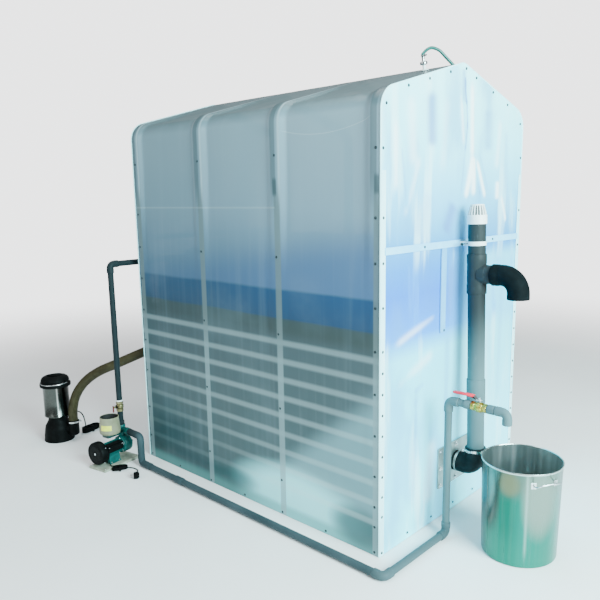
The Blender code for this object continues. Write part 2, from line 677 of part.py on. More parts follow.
def make_pump():
    """The pump on its board: head with pot arm, motor, terminal box, fan cover and priming pot."""
    box("pump_board", (*BOARD_LOW, 0), (*BOARD_HIGH, BOARD_THICKNESS), BEIGE, PUMP_FRAME, bevel=0.002)
    foot_low = BOARD_THICKNESS + GAP
    foot_high = SHAFT_HEIGHT - 0.02
    head = rod("pump_head", (SHAFT_X, -0.035, SHAFT_HEIGHT), (SHAFT_X, 0.035, SHAFT_HEIGHT), HEAD_RADIUS,
               GREEN, PUMP_FRAME, sides=32)
    combine(head, rod("head_neck", (0, 0, SHAFT_HEIGHT), (0, 0, NECK_TOP), 0.024, GREEN, PUMP_FRAME), "UNION")
    stub_start = (PUMP_X, FLOOR_PIPE_Y, PUMP_OUTLET_HEIGHT)
    stub_end = (PUMP_OUTLET_X, FLOOR_PIPE_Y, PUMP_OUTLET_HEIGHT)
    combine(head, rod("head_outlet", stub_start, stub_end, 0.021, GREEN), "UNION")
    arm = box("head_arm", (-0.030, POT_Y - 0.040, 0.158), (0.034, -0.010, POT_LOW - GAP), GREEN, PUMP_FRAME)
    combine(head, arm, "UNION")
    motor = rod("pump_motor", (SHAFT_X, -0.0353, SHAFT_HEIGHT), (SHAFT_X, MOTOR_END, SHAFT_HEIGHT),
                MOTOR_RADIUS, GREEN, PUMP_FRAME, sides=32)
    feet = box("motor_feet", (SHAFT_X - 0.042, -0.140, foot_low), (SHAFT_X + 0.042, -0.060, foot_high), GREEN,
               PUMP_FRAME)
    combine(motor, feet, "UNION")
    combine(motor, box("terminal_box", (SHAFT_X + 0.002, -0.160, SHAFT_HEIGHT - 0.008),
                       (SHAFT_X + 0.052, -0.042, SHAFT_HEIGHT + 0.038), BLACK, PUMP_FRAME), "UNION")
    cover = [(0, 0), (FAN_RADIUS - 0.006, 0), (FAN_RADIUS, -0.006), (FAN_RADIUS, -FAN_DEPTH), (0, -FAN_DEPTH)]
    matrix = (Matrix.Translation((SHAFT_X, MOTOR_END - GAP - FAN_DEPTH, SHAFT_HEIGHT))
              @ Matrix.Rotation(pi / 2, 4, "X"))
    turned("fan_cover", cover, BLACK, PUMP_FRAME, matrix)
    pot = [(0, POT_LOW + 0.006), (POT_RIM - 0.004, POT_LOW + 0.006), (POT_RIM - 0.004, POT_TOP),
           (POT_RIM, POT_TOP), (POT_RADIUS, POT_LOW + 0.022), (POT_RADIUS - 0.001, POT_LOW + 0.008),
           (POT_RIM, POT_LOW), (0, POT_LOW)]
    turned("priming_pot", pot, BEIGE, PUMP_FRAME, Matrix.Translation((POT_X, POT_Y, 0)))


def make_disposer():
    """The food-waste disposer and the brown hose to the rear wall."""
    matrix = Matrix.Translation((DISPOSER_X, DISPOSER_Y, 0))
    base = turned("disposer_base", [(0, 0.160), (0.058, 0.160), (0.059, 0.138), (0.068, 0.118),
                                    (0.080, 0.096), (0.087, 0.060), (0.089, 0.030), (0.092, 0.012),
                                    (0.092, 0.0), (0, 0)], BLACK, matrix=matrix)
    x, y = HOSE_FOOT
    combine(base, rod("outlet_socket", (x, y, 0.040), (x, y, 0.135), HOSE_RADIUS + 0.004, BLACK), "UNION")
    combine(base, rod("outlet_neck", (DISPOSER_X, DISPOSER_Y, 0.076), (x, y, 0.076), 0.030, BLACK), "UNION")
    turned("disposer_body", [(0, 0.355), (0.079, 0.355), (0.079, 0.1603), (0, 0.1603)], CHROME,
           matrix=matrix, steps=40)
    top = DISPOSER_HEIGHT
    turned("disposer_lid", [(0, top), (0.050, top - 0.001), (0.078, top - 0.012), (0.086, top - 0.034),
                            (0.080, top - 0.038), (0.080, 0.378), (0.093, 0.374), (0.093, 0.3553),
                            (0, 0.3553)], BLACK, matrix=matrix)
    route = [(-0.868, HOSE_EXIT_Y, 0.652), (-0.905, -0.437, 0.636), (-0.993, -0.510, 0.594),
             (-1.153, -0.611, 0.512), (-1.247, -0.670, 0.464), (-1.320, -0.715, 0.409),
             (-1.370, -0.747, 0.348), (-1.404, -0.768, 0.281), (-1.420, -0.779, 0.210), (x, y, 0.165)]
    path = square_path([(-END_WALL - GAP, HOSE_EXIT_Y, 0.652)] + route + [(x, y, 0.1353)], 0.045)
    tube("waste_hose", path, HOSE_RADIUS, BROWN, resolution=5)


def make_cords():
    """The leads of the pump and the disposer: tube, hank, tail and plug."""
    hank = rounded_rectangle(HANK_HALF, 0.023, 0.0225)
    matrix = Matrix.Translation(HANK_AT) @ Matrix.Rotation(HANK_TURN, 4, "Z")
    flat("pump_cord_hank", [hank], 0.025, BLACK, matrix)
    out = Vector((cos(HANK_TURN), sin(HANK_TURN), 0))
    left = Vector((-out.y, out.x, 0))
    end = Vector(HANK_AT) - out * 0.020 + left * (0.023 + GAP) + Vector((0, 0, 0.004))
    lead = [pump_point(0.058, -0.152, SHAFT_HEIGHT - 0.0083), pump_point(0.058, -0.152, 0.060),
            pump_point(0.0592, -0.1515, 0.040), pump_point(0.067, -0.149, 0.0240),
            pump_point(0.081, -0.1435, 0.0178), pump_point(0.0945, -0.1375, 0.0178),
            end + left * 0.004, end]
    tube("pump_cord_lead", square_path(lead, 0.010), CORD_RADIUS, BLACK, resolution=2)
    start = Vector(HANK_AT) + out * (HANK_HALF + GAP)
    ahead = Vector((cos(PUMP_PLUG_TURN), sin(PUMP_PLUG_TURN), 0))
    entry = Vector(PUMP_PLUG_AT) - ahead * (0.020 + GAP)
    tail = [start, start + out * 0.006, (-0.7545, -0.7855, 0.0075), (-0.738, -0.7785, 0.0040),
            (-0.716, -0.7760, 0.0036), (-0.695, -0.7845, 0.0040), (-0.679, -0.7990, 0.0075),
            entry - ahead * 0.020 - Vector((0, 0, 0.0015)), entry - ahead * 0.008, entry]
    tube("pump_cord_tail", square_path(tail, 0.010), CORD_RADIUS, BLACK, resolution=2)
    make_plug("pump_plug", Vector(PUMP_PLUG_AT), PUMP_PLUG_TURN)
    hank = rounded_rectangle(0.026, 0.078, 0.020)
    flat("disposer_cord_hank", [hank], 0.040, BLACK,
         Matrix.Translation((-1.500, -0.628, 0.0203)) @ Matrix.Rotation(radians(12), 4, "Z"))
    start = Vector((DISPOSER_X, DISPOSER_Y, 0.145))
    out = Vector((0.60, 0.80, 0))
    lead = [start + out * 0.0594, start + out * 0.086, (-1.465, -0.748, 0.176), (-1.456, -0.728, 0.178),
            (-1.452, -0.707, 0.135), (-1.466, -0.690, 0.075), (-1.484, -0.682, 0.052),
            (-1.484, -0.682, 0.0406)]
    tube("disposer_cord_lead", square_path(lead, 0.010), 0.004, BLACK, resolution=2)
    turn = radians(12)
    out = Vector((-sin(turn), cos(turn), 0))
    make_plug("disposer_plug", Vector((-1.500, -0.628, 0.0150)) + out * (0.078 + GAP + 0.016), pi + turn)


def make_plug(name, centre, turn):
    """A moulded plug on its side, with three flat pins."""
    bm = bmesh.new()
    box_between(bm, (-0.020, -0.016, -0.0147), (0.020, 0.016, 0.0147))
    made = place(name, mesh_from(bm, name, smooth=False), BLACK, None,
                 Matrix.Translation(centre) @ Matrix.Rotation(turn, 4, "Z"))
    bm = bmesh.new()
    for x, z in ((-0.009, 0.005), (0.009, 0.005), (0.0, -0.008)):
        box_between(bm, (x - 0.0032, -0.033, z - 0.001), (x + 0.0032, -0.010, z + 0.001))
    pins = place(f"{name}_pins", mesh_from(bm, "pins", smooth=False), BRASS, None, made.matrix_world)
    combine(made, pins, "UNION")


def make_gas_line():
    """The gas outlet on the near slope and the green hose that goes over the ridge."""
    x = GAS_X
    y = GAS_Y
    roof = RIDGE_HEIGHT + y * ROOF_SLOPE
    out = Vector((0, -sin(ROOF_ANGLE), cos(ROOF_ANGLE)))
    foot = Vector((x, y, roof)) + out * GAP
    matrix = Matrix.Translation(foot) @ Matrix.Rotation(ROOF_ANGLE, 4, "X")
    profile = [(0, 0.054), (0.0085, 0.054), (0.0085, 0.038), (0.0150, 0.036), (0.0165, 0.030),
               (0.0150, 0.024), (0.0085, 0.022), (0.0085, 0.004), (0.019, 0.003), (0.019, 0.0), (0, 0)]
    turned("gas_outlet", profile, STEEL, matrix=matrix, steps=24)
    start = foot + out * 0.0543
    far = Vector((x + 0.066, 0.060, RIDGE_HEIGHT - 0.060 * ROOF_SLOPE))
    far_out = Vector((0, sin(ROOF_ANGLE), cos(ROOF_ANGLE)))
    route = [start, start + out * 0.012, (x + 0.003, -0.068, 2.134), (x + 0.012, -0.040, 2.1445),
             (x + 0.028, -0.005, 2.135), (x + 0.045, 0.022, 2.108), far + far_out * 0.018,
             far + far_out * (GAP + 0.0003)]
    tube("gas_hose", square_path(route, 0.012), 0.007, GREEN_HOSE, resolution=3)


def make_bucket():
    """The steel bucket under the spout, with two wire handles."""
    foot = BUCKET_FOOT_RADIUS
    rim = BUCKET_RADIUS
    wall = BUCKET_WALL
    top = BUCKET_HEIGHT
    profile = [(0, wall), (foot - 0.010, wall), (foot - wall, 0.010), (rim - wall, top - 0.004),
               (rim - wall, top), (rim + 0.003, top), (rim + 0.003, top - 0.005), (rim, top - 0.006),
               (foot, 0.008), (foot - 0.008, 0.0), (0, 0)]
    turned("bucket", profile, STEEL, matrix=Matrix.Translation((BUCKET_X, BUCKET_Y, 0)), steps=48)
    for name, turn in (("bucket_handle_near", radians(-31)), ("bucket_handle_far", radians(149))):
        place_at = Matrix.Translation((BUCKET_X, BUCKET_Y, top - 0.044)) @ Matrix.Rotation(turn, 4, "Z")
        seat = foot + (rim - foot) * (top - 0.056) / (top - 0.014) + GAP + 0.0001
        out_x = cos(HANDLE_SPREAD)
        out_y = sin(HANDLE_SPREAD)
        half = [(seat * out_x, seat * out_y, -0.004), ((seat + 0.007) * out_x, (seat + 0.007) * out_y, -0.004),
                (seat + 0.018, 0.051, 0.000), (seat + 0.032, 0.047, 0.010), (seat + 0.036, 0.032, 0.014)]
        route = [(x, -y, z) for x, y, z in half] + [(seat + 0.038, 0, 0.016)] + half[::-1]
        wire = tube(name, square_path(route, 0.010), 0.0028, STEEL, resolution=3)
        wire.matrix_world = place_at


make_frame()
make_cover()
make_end_bars()
make_standpipe()
make_slurry_line()
make_rear_line()
make_pump()
make_disposer()
make_cords()
make_gas_line()
make_bucket()
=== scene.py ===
"""The looks of a family-size biogas digester: milky cover over a slatted frame and a blue bag, a grey
standpipe with black rubber elbows, small slurry pipe, pump, disposer, hoses, cords and steel bucket."""

from itertools import product
from math import atan, copysign, cos, exp, pi, radians, sin, tan

import bmesh
import bpy
from mathutils import Matrix, Vector, noise


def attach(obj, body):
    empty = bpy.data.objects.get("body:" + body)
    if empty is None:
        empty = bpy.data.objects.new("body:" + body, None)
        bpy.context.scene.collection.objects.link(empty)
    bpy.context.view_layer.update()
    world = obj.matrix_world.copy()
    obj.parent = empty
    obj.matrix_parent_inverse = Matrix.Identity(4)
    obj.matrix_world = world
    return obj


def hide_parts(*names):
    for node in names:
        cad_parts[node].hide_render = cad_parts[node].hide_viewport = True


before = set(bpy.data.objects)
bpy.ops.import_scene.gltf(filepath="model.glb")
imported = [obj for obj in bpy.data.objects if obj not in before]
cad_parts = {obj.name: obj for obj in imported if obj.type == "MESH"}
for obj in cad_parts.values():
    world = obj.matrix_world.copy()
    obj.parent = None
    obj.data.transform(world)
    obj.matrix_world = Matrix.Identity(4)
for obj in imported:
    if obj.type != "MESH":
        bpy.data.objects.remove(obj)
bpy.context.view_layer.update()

BODY = "digester"
IDENTITY = Matrix.Identity(4)
UP = Vector((0, 0, 1))
# Turns a shape drawn in XY so that its Y points up
ON_EDGE = Matrix.Rotation(pi / 2, 4, "X")

# The enclosure
HALF_LENGTH = 0.85
HALF_WIDTH = 0.6
EAVE_HEIGHT = 1.9
RIDGE_HEIGHT = 2.07
EAVE_RADIUS = 0.1
RIDGE_RADIUS = 0.08
ROOF_SLOPE = (RIDGE_HEIGHT - EAVE_HEIGHT) / HALF_WIDTH
ROOF_ANGLE = atan(ROOF_SLOPE)
SHEET = 0.003
RIB_PLACES = (-0.8247, -0.272, 0.272, 0.8247)
RIB_HALF = 0.022
BAG_HEIGHT = 1.1
BAG_CROWN = 0.21
BELT_LOW = 0.957
BELT_HIGH = 1.096
CORNER_STRIP_TOP = 1.603
BAR_Z = 1.292
BAR_HALF = 0.015
BAR_DEPTH = 0.006

# The standpipe
STAND_X = 0.962
STAND_Z = 0.31
LEAN = radians(1.5)
STAND = Matrix.Translation((STAND_X, 0, STAND_Z)) @ Matrix.Rotation(-LEAN, 4, "Y")
STAND_FOOT = 0.033
STAND_RADIUS = 0.039
TEE_RADIUS = 0.044
TEE_LOW = 0.758
TEE_HIGH = 0.935
BRANCH_HEIGHT = 0.845
BRANCH_REACH = 0.078
ELBOW_REACH = 0.197
ELBOW_BEND = 0.075
ELBOW_DROP = 0.102
CAP_LOW = 1.068
CAP_TOP = 1.155
OUTLET_Z = 0.25
PLATE_FACE = 0.8583
FOOT_BEND = 0.056

# The small pipe
PIPE_RADIUS = 0.0165
SOCKET = 1.22
SOCKET_LENGTH = 0.026
PIPE_BEND = 0.024
FLOOR_PIPE_Y = -0.725
FLOOR_PIPE_X = 0.966
DROP_X = -0.745
RISER_Y = -0.26
OUTLET_HEIGHT = 0.636
VALVE_START = 1.076
VALVE_END = 1.147
SPOUT_X = 1.235
OUTLET_PIPE_RADIUS = 0.0195
SPOUT_LOW = 0.588
SPLIT = 0.09
GAP = 0.0003

# The pump
PUMP = Matrix.Translation((-0.945, -0.725, 0)) @ Matrix.Rotation(radians(10), 4, "Z")
PUMP_OUTLET_X = -0.86
PUMP_OUTLET_HEIGHT = 0.178
SHAFT_X = 0.012
SHAFT_HEIGHT = 0.092
NECK_TOP = 0.205
POT_X = 0.0046
POT_Y = -0.086
REAR_VALVE_LOW = 0.286
REAR_VALVE_TOP = 0.346
REAR_LEVER_Y = -0.768
REAR_PIPE_HEIGHT = 1.15
REAR_PIPE_ENTRY_Y = -0.3

# The disposer, the bucket and the gas outlet
DISPOSER = Vector((-1.527, -0.831, 0))
HOSE_FOOT = Vector((-1.424, -0.781, 0.1353))
HOSE_RADIUS = 0.029
BUCKET = Matrix.Translation((1.254, -0.145, 0))
BUCKET_HEIGHT = 0.414
# Directions across the bucket and the disposer along which their painted reflections are laid out
BUCKET_RIGHT = (0.906, 0.423)
DISPOSER_RIGHT = (0.438, 0.899)
GAS_FOOT = Vector((0.7, -0.08, RIDGE_HEIGHT - 0.08 * ROOF_SLOPE))


# Matrices

def shift(place):
    """A matrix that moves the origin to a place."""
    return Matrix.Translation(place)


def spin(angle, axis="Z"):
    """A matrix that turns about one axis."""
    return Matrix.Rotation(angle, 4, axis)


# Camera

def make_camera():
    """A camera where the photograph was taken from."""
    yaw = radians(133.05)
    pitch = radians(-10.27)
    roll = radians(0.89)
    forward = Vector((cos(yaw) * cos(pitch), sin(yaw) * cos(pitch), sin(pitch)))
    level = forward.cross(UP).normalized()
    below = forward.cross(level).normalized()
    right = cos(roll) * level + sin(roll) * below
    down = cos(roll) * below - sin(roll) * level
    data = bpy.data.cameras.new("camera")
    data.sensor_width = 36
    data.lens = 38.65
    data.shift_x = -0.0133
    data.shift_y = 0.0226
    made = bpy.data.objects.new("camera", data)
    turn = Matrix((right, -down, -forward)).transposed().to_4x4()
    made.matrix_world = shift((2.3448, -2.6161, 1.5072)) @ turn
    bpy.context.scene.collection.objects.link(made)
    bpy.context.scene.camera = made


# Materials

class Value:
    """A number from a node; arithmetic on it adds the nodes that work out the next number."""

    def __init__(self, look, socket):
        self.look = look
        self.socket = socket

    def work(self, kind, other=0.0):
        """Another number worked out from this one."""
        return self.look.node("Math", 0, {0: self, 1: other}, operation=kind)

    def __add__(self, other):
        return self.work("ADD", other)

    def __sub__(self, other):
        return self.work("SUBTRACT", other)

    def __mul__(self, other):
        return self.work("MULTIPLY", other)

    def __truediv__(self, other):
        return self.work("DIVIDE", other)

    def __abs__(self):
        return self.work("ABSOLUTE")

    def span(self, low, high, start=0.0, end=1.0):
        """This number mapped to another range, smoothly and clamped; high may lie below low."""
        if high < low:
            low, high, start, end = high, low, end, start
        ranges = {"From Min": low, "From Max": high, "To Min": start, "To Max": end, "Value": self}
        return self.look.node("MapRange", "Result", ranges, interpolation_type="SMOOTHSTEP")

    def near(self, centre, half, soft):
        """1 within a half width of a centre, with soft edges."""
        return abs(self - centre).span(half + soft / 2, half - soft / 2)


class Look:
    """A material, the tint built up for it and short calls that add the usual nodes."""

    def __init__(self, name, roughness, metallic=0.0):
        self.material = bpy.data.materials.new(name)
        self.material.use_nodes = True
        self.nodes = self.material.node_tree.nodes
        self.links = self.material.node_tree.links
        self.shader = self.nodes["Principled BSDF"]
        self.place = self.nodes.new("ShaderNodeTexCoord").outputs["Object"]
        self.tint = None
        self.set("Roughness", roughness)
        self.set("Metallic", metallic)

    def join(self, value, socket):
        """Put a constant or another node's output on a socket."""
        value = getattr(value, "socket", value)
        if isinstance(value, bpy.types.NodeSocket):
            self.links.new(value, socket)
        elif socket.type == "RGBA":
            socket.default_value = (*value, 1.0)
        else:
            socket.default_value = value

    def set(self, name, value):
        """Drive one input of the shader."""
        self.join(value, self.shader.inputs[name])

    def node(self, kind, output, inputs, **settings):
        """Add a node with its settings and inputs, and give one of its outputs."""
        made = self.nodes.new("ShaderNode" + kind)
        for name, value in settings.items():
            setattr(made, name, value)
        for name, value in inputs.items():
            self.join(value, made.inputs[name])
        return Value(self, made.outputs[output])

    def axes(self):
        """The three coordinates of the object's own space, in metres."""
        made = self.nodes.new("ShaderNodeSeparateXYZ")
        self.links.new(self.place, made.inputs["Vector"])
        return [Value(self, socket) for socket in made.outputs]

    def noise(self, scale, stretch=(1, 1, 1), detail=3.0):
        """Fractal noise over the object's own metres."""
        place = self.node("Mapping", "Vector", {"Scale": stretch, "Vector": self.place})
        inputs = {"Scale": scale, "Detail": detail, "Roughness": 0.55, "Vector": place}
        return self.node("TexNoise", "Fac", inputs)

    def wave(self, scale, direction, distortion=0.0):
        """Parallel bands along one axis."""
        inputs = {"Scale": scale, "Distortion": distortion, "Vector": self.place}
        return self.node("TexWave", "Fac", inputs, bands_direction=direction)

    def ramp(self, source, *stops):
        """A colour ramp from (position, colour) stops."""
        made = self.nodes.new("ShaderNodeValToRGB")
        elements = made.color_ramp.elements
        while len(elements) < len(stops):
            elements.new(0.5)
        for element, (position, colour) in zip(elements, stops):
            element.position = position
            element.color = (*colour, 1.0)
        self.join(source, made.inputs["Fac"])
        return made.outputs["Color"]

    def mix(self, amount, first, second):
        """A mix of two colours."""
        return self.node("Mix", 2, {0: amount, 6: first, 7: second}, data_type="RGBA")

    def lay(self, amount, colour):
        """Mix a colour over the tint so far."""
        self.tint = self.mix(amount, self.tint, colour)

    def paint(self, specular=None):
        """Use the tint as the surface's colour, with its own specular level where one is given."""
        self.set("Base Color", self.tint)
        if specular is not None:
            self.set("Specular IOR Level", specular)

    def glow(self, strength):
        """Let the surface shine in its own tint."""
        self.set("Emission Color", self.tint)
        self.set("Emission Strength", strength)

    def bump(self, height, strength, distance):
        """Relief from a height."""
        inputs = {"Strength": strength, "Distance": distance, "Height": height}
        self.set("Normal", self.node("Bump", "Normal", inputs))

    def coat(self, weight, roughness):
        """A clear gloss over the surface."""
        self.set("Coat Weight", weight)
        self.set("Coat Roughness", roughness)

    def see_through(self, amount):
        """Let a share of the light straight through."""
        clear = self.node("BsdfTransparent", 0, {})
        blend = self.node("MixShader", 0, {0: amount, 1: self.shader.outputs[0], 2: clear})
        self.join(blend, self.nodes["Material Output"].inputs["Surface"])


def mottled(name, dark, light, roughness, scale, metallic=0.0, relief=0.15):
    """A surface whose colour, gloss and relief vary a little, as moulded and painted ones do."""
    look = Look(name, roughness, metallic)
    fine = look.noise(scale * 18, detail=5.0)
    look.tint = look.ramp(look.noise(scale), (0.3, dark), (0.72, light))
    look.paint()
    look.set("Roughness", fine.span(0.25, 0.75, roughness * 0.82, min(1.0, roughness * 1.25)))
    look.bump(fine, relief, 0.0006)
    return look


# Plain finishes: material name, dark and light colour, roughness, scale of the mottling, metallic share
# and strength of the relief, the last two where they differ from the usual
PLAIN = {
    "zinc": ("galvanised_steel", (0.1, 0.15, 0.16), (0.16, 0.22, 0.23), 0.5, 30.0, 0.4),
    "slat": ("slat_board", (0.03, 0.062, 0.07), (0.055, 0.095, 0.105), 0.55, 9.0),
    "strip": ("pale_strip", (0.46, 0.9, 0.98), (0.6, 0.98, 1.0), 0.36, 11.0, 0.0, 0.1),
    "film_strip": ("bluish_strip", (0.14, 0.56, 0.88), (0.24, 0.72, 0.96), 0.4, 9.0, 0.0, 0.1),
    "film_strap": ("deep_strip", (0.06, 0.36, 0.66), (0.12, 0.48, 0.78), 0.4, 9.0, 0.0, 0.1),
    "plate": ("plate_zinc", (0.2, 0.3, 0.3), (0.36, 0.46, 0.45), 0.38, 18.0, 0.6),
    "white": ("white_plastic", (0.74, 0.78, 0.77), (0.86, 0.89, 0.88), 0.38, 25.0),
    "elbow": ("elbow_rubber", (0.0015, 0.003, 0.0035), (0.004, 0.007, 0.008), 0.66, 22.0),
    # The foot elbow's rubber: the same black rubber painted lighter, as painted light on the low elbow.
    "foot_elbow": ("rubber_painted_lighter", (0.006, 0.011, 0.012), (0.016, 0.024, 0.026), 0.56, 22.0),
    "brass": ("cast_brass", (0.2, 0.145, 0.012), (0.74, 0.58, 0.13), 0.27, 110.0, 1.0, 0.7),
    # A darker, duller copy of the brass, for the rear valve.
    "darker_brass": ("dull_brass", (0.1, 0.08, 0.03), (0.34, 0.3, 0.15), 0.36, 70.0, 0.9, 0.3),
    "bolt": ("bolt_steel", (0.12, 0.14, 0.14), (0.34, 0.37, 0.37), 0.34, 70.0, 0.9),
    "steel": ("clamp_steel", (0.55, 0.58, 0.58), (0.8, 0.82, 0.82), 0.22, 45.0, 1.0),
    "screw": ("screw_head", (0.008, 0.02, 0.024), (0.03, 0.05, 0.055), 0.45, 90.0, 0.3),
    "red": ("red_vinyl", (0.6, 0.004, 0.022), (0.86, 0.02, 0.05), 0.38, 40.0),
    # A darker copy of the red vinyl, for the rear lever.
    "red_dark": ("red_vinyl_darker", (0.1, 0.01, 0.01), (0.22, 0.02, 0.018), 0.4, 40.0),
    "green": ("green_enamel", (0.0, 0.05, 0.046), (0.0, 0.105, 0.094), 0.34, 24.0),
    "green_dark": ("shaded_enamel", (0.0, 0.018, 0.017), (0.001, 0.045, 0.04), 0.4, 24.0),
    "black": ("black_plastic", (0.001, 0.0014, 0.0014), (0.0035, 0.0045, 0.0045), 0.5, 30.0),
    # Near black, painted as the shade inside slots, recesses and the pot.
    "dark": ("painted_recess_shade", (0.003, 0.003, 0.003), (0.008, 0.009, 0.009), 0.7, 30.0),
    "beige": ("beige_paint", (0.165, 0.165, 0.095), (0.26, 0.255, 0.165), 0.42, 18.0),
    "board": ("board_wood", (0.2, 0.22, 0.16), (0.42, 0.45, 0.36), 0.62, 26.0, 0.0, 0.35),
    "label": ("plain_label", (0.7, 0.72, 0.03), (0.85, 0.86, 0.1), 0.4, 30.0),
    "gas_hose": ("green_hose", (0.004, 0.08, 0.07), (0.012, 0.14, 0.115), 0.32, 30.0),
    "floor": ("pale_floor", (0.88, 0.89, 0.89), (0.93, 0.94, 0.94), 0.75, 1.2)}


SPECULAR = {"film_strip": 0.15, "film_strap": 0.15, "elbow": 0.05, "foot_elbow": 0.12, "red": 0.3,
            "green": 0.25, "black": 0.06}


def make_looks():
    """Every material, by name."""
    looks = {name: mottled(*row) for name, row in PLAIN.items()}
    for name, level in SPECULAR.items():
        looks[name].set("Specular IOR Level", level)
    looks.update(cover=cover_look(), end_film=end_film_look(), bag=bag_look(), pipe=pipe_look(),
                 hose=hose_look(), chrome=disposer_look(), bucket=bucket_look(),
                 bucket_inside=bucket_inner_look())
    floor = looks["floor"]
    reach = floor.node("VectorMath", "Value", {0: floor.place}, operation="LENGTH")
    floor.see_through(reach.span(2.6, 7.5))
    return {name: look.material for name, look in looks.items()}


def blob(across, up, centre, half):
    """1 in the middle of a soft oval patch, 0 outside it."""
    x = (across - centre[0]) / half[0]
    z = (up - centre[1]) / half[1]
    return (x * x + z * z).span(1.4, 0.1)


STRIP_FIRST = 0.151
STRIP_PITCH = 0.0877
STRIP_COUNT = 9


def cover_look():
    """The milky sheet: painted light from between the slats, the bag's blue belt and the ribs show on it,
    with painted light and shade by the ribs, low near the front and towards the rear.
    """
    look = Look("milky_cover", 0.34)
    along, side, up = look.axes()
    cloud = look.noise(2.2, detail=4.0)
    streak = look.noise(22.0, (1, 1, 0.03), detail=2.0)
    cover_heights(look, up + (look.noise(3.0, (1, 1, 0.2)) * 0.016 - 0.008), along)
    look.lay(streak.span(0.45, 0.8, 0.0, 0.1), (0.26, 0.42, 0.5))
    look.lay(cloud.span(0.48, 0.75, 0.0, 0.12), (0.22, 0.36, 0.42))
    cover_glow(look, up, along)
    # Painted light: pale strips where light shines through the gaps between the slats.
    look.lay(slat_strips(up, along), look.mix(0.5, look.tint, (0.5, 0.74, 0.78)))
    walls = abs(side).span(0.56, 0.59)
    pale = look.mix(up.span(0.95, 0.7), (0.13, 0.2, 0.21), (0.22, 0.36, 0.39))
    look.lay(rib_strips(along, 0.009, 0.0185) * walls * up.span(1.6, 1.46) * 0.75, pale)
    # Painted highlight on the front side of each rib and painted shade on its rear side, high up where the
    # sheet sags between the ribs.
    look.lay(rib_strips(along, 0.024, 0.006) * up.span(1.44, 1.6) * 0.55, (0.42, 0.6, 0.66))
    look.lay(rib_strips(along, -0.012, 0.016) * up.span(1.4, 1.6) * 0.6, (0.045, 0.085, 0.095))
    cover_marks(look, up, along)
    look.paint(0.35)
    look.set("Roughness", cloud.span(0.3, 0.7, 0.28, 0.44))
    look.coat(0.2, 0.14)
    look.bump(look.noise(7.0, (1, 1, 0.15), detail=2.0), 0.25, 0.004)
    # Painted light: the sheet glows in its own tint in a soft patch low down near the front.
    look.glow(blob(along, up, (0.4, 0.1), (0.45, 0.2)) * 0.5)
    look.see_through(up.span(0.94, 1.02, 0.14, 0.1))
    return look


def cover_heights(look, level, along):
    """The sheet's colour by height: slats, an olive gap, the belt, haze, milky sheet and a roof darkened as
    painted shade, with painted shade towards the rear.
    """
    tall = RIDGE_HEIGHT
    look.tint = look.ramp(level / tall, (0.0, (0.026, 0.08, 0.088)), (0.12, (0.03, 0.078, 0.086)),
                          (0.41, (0.05, 0.09, 0.104)), (0.44, (0.034, 0.062, 0.064)),
                          (0.961 / tall, (0.034, 0.064, 0.066)), (0.969 / tall, (0.01, 0.056, 0.13)),
                          (1.092 / tall, (0.013, 0.07, 0.165)), (1.106 / tall, (0.07, 0.168, 0.28)),
                          (1.46 / tall, (0.19, 0.34, 0.425)), (1.84 / tall, (0.245, 0.4, 0.47)),
                          (1.9 / tall, (0.072, 0.15, 0.168)), (1.0, (0.05, 0.11, 0.122)))
    lavender = (along * -0.155 + level).span(1.32, 1.12, 0.0, 0.8)
    look.lay(lavender * level.span(1.098, 1.108), (0.064, 0.15, 0.295))
    # Painted shade: the sheet darkens towards the rear end.
    look.lay(along.span(-0.6, 0.6, 0.34, 0.0), (0.03, 0.07, 0.086))


def cover_glow(look, up, along):
    """A painted reflection low down near the front, brightest in a cyan patch at the base, then the green
    foot and two dark patches.
    """
    # Painted reflection: a light wash low down near the front and a bright cyan patch at the base of the near
    # bays.
    glow = (up - (along * 0.765 + 0.068)).span(0.06, -0.1) * up.span(0.95, 0.55, 0.35, 1.0)
    look.lay(glow * 0.72, (0.18, 0.4, 0.45))
    look.lay(blob(along, up, (0.34, 0.1), (0.42, 0.16)) * 0.9, (0.3, 0.9, 0.96))
    look.lay(up.span(0.075, 0.03) * 0.65, (0.06, 0.3, 0.29))
    for centre, half, depth in (((0.74, 0.1), (0.17, 0.1), 0.85), ((-0.1, 0.09), (0.2, 0.06), 0.6)):
        look.lay(blob(along, up, centre, half) * depth, (0.035, 0.11, 0.115))


def slat_strips(up, along):
    """Painted light: soft pale strips where light comes through between the slats, fainter low down towards
    the rear.
    """
    turns = (up - (STRIP_FIRST - STRIP_PITCH / 2)) / STRIP_PITCH
    strips = abs(turns.work("FRACT") - 0.5).span(0.235, 0.055)
    last = STRIP_FIRST + STRIP_PITCH * (STRIP_COUNT - 0.5)
    inside = up.span(0.105, 0.112) * up.span(last, last - 0.007)
    return strips * inside * (along * 0.34 + up).span(0.05, 0.5, 0.14, 0.54)


def rib_strips(along, offset, half):
    """Bands that run with the ribs, set a little to one side of each."""
    first, *others = [along.near(place + offset, half, 0.008) for place in RIB_PLACES]
    for other in others:
        first = first.work("MAXIMUM", other)
    return first


def cover_marks(look, up, along):
    """Two painted highlights along lines in the sheet, one straight and one sagging, and the taped joints on
    two ribs.
    """
    seam = up.near(1.462, 0.004, 0.005) * along.span(0.272, 0.262)
    x = along - 0.524
    slack = (up - (x * x * 0.6 + 1.761)).near(0.0, 0.0015, 0.003) * along.near(0.555, 0.235, 0.04)
    # Both lines are painted as pale highlights.
    for mark, depth in ((seam, 0.13), (slack, 0.28)):
        look.lay(mark * depth, (0.62, 0.8, 0.84))
    for place in (0.268, 0.829):
        tape = along.near(place, 0.012, 0.006) * up.near(1.552, 0.036, 0.024)
        look.lay(tape * 0.65, (0.02, 0.05, 0.055))


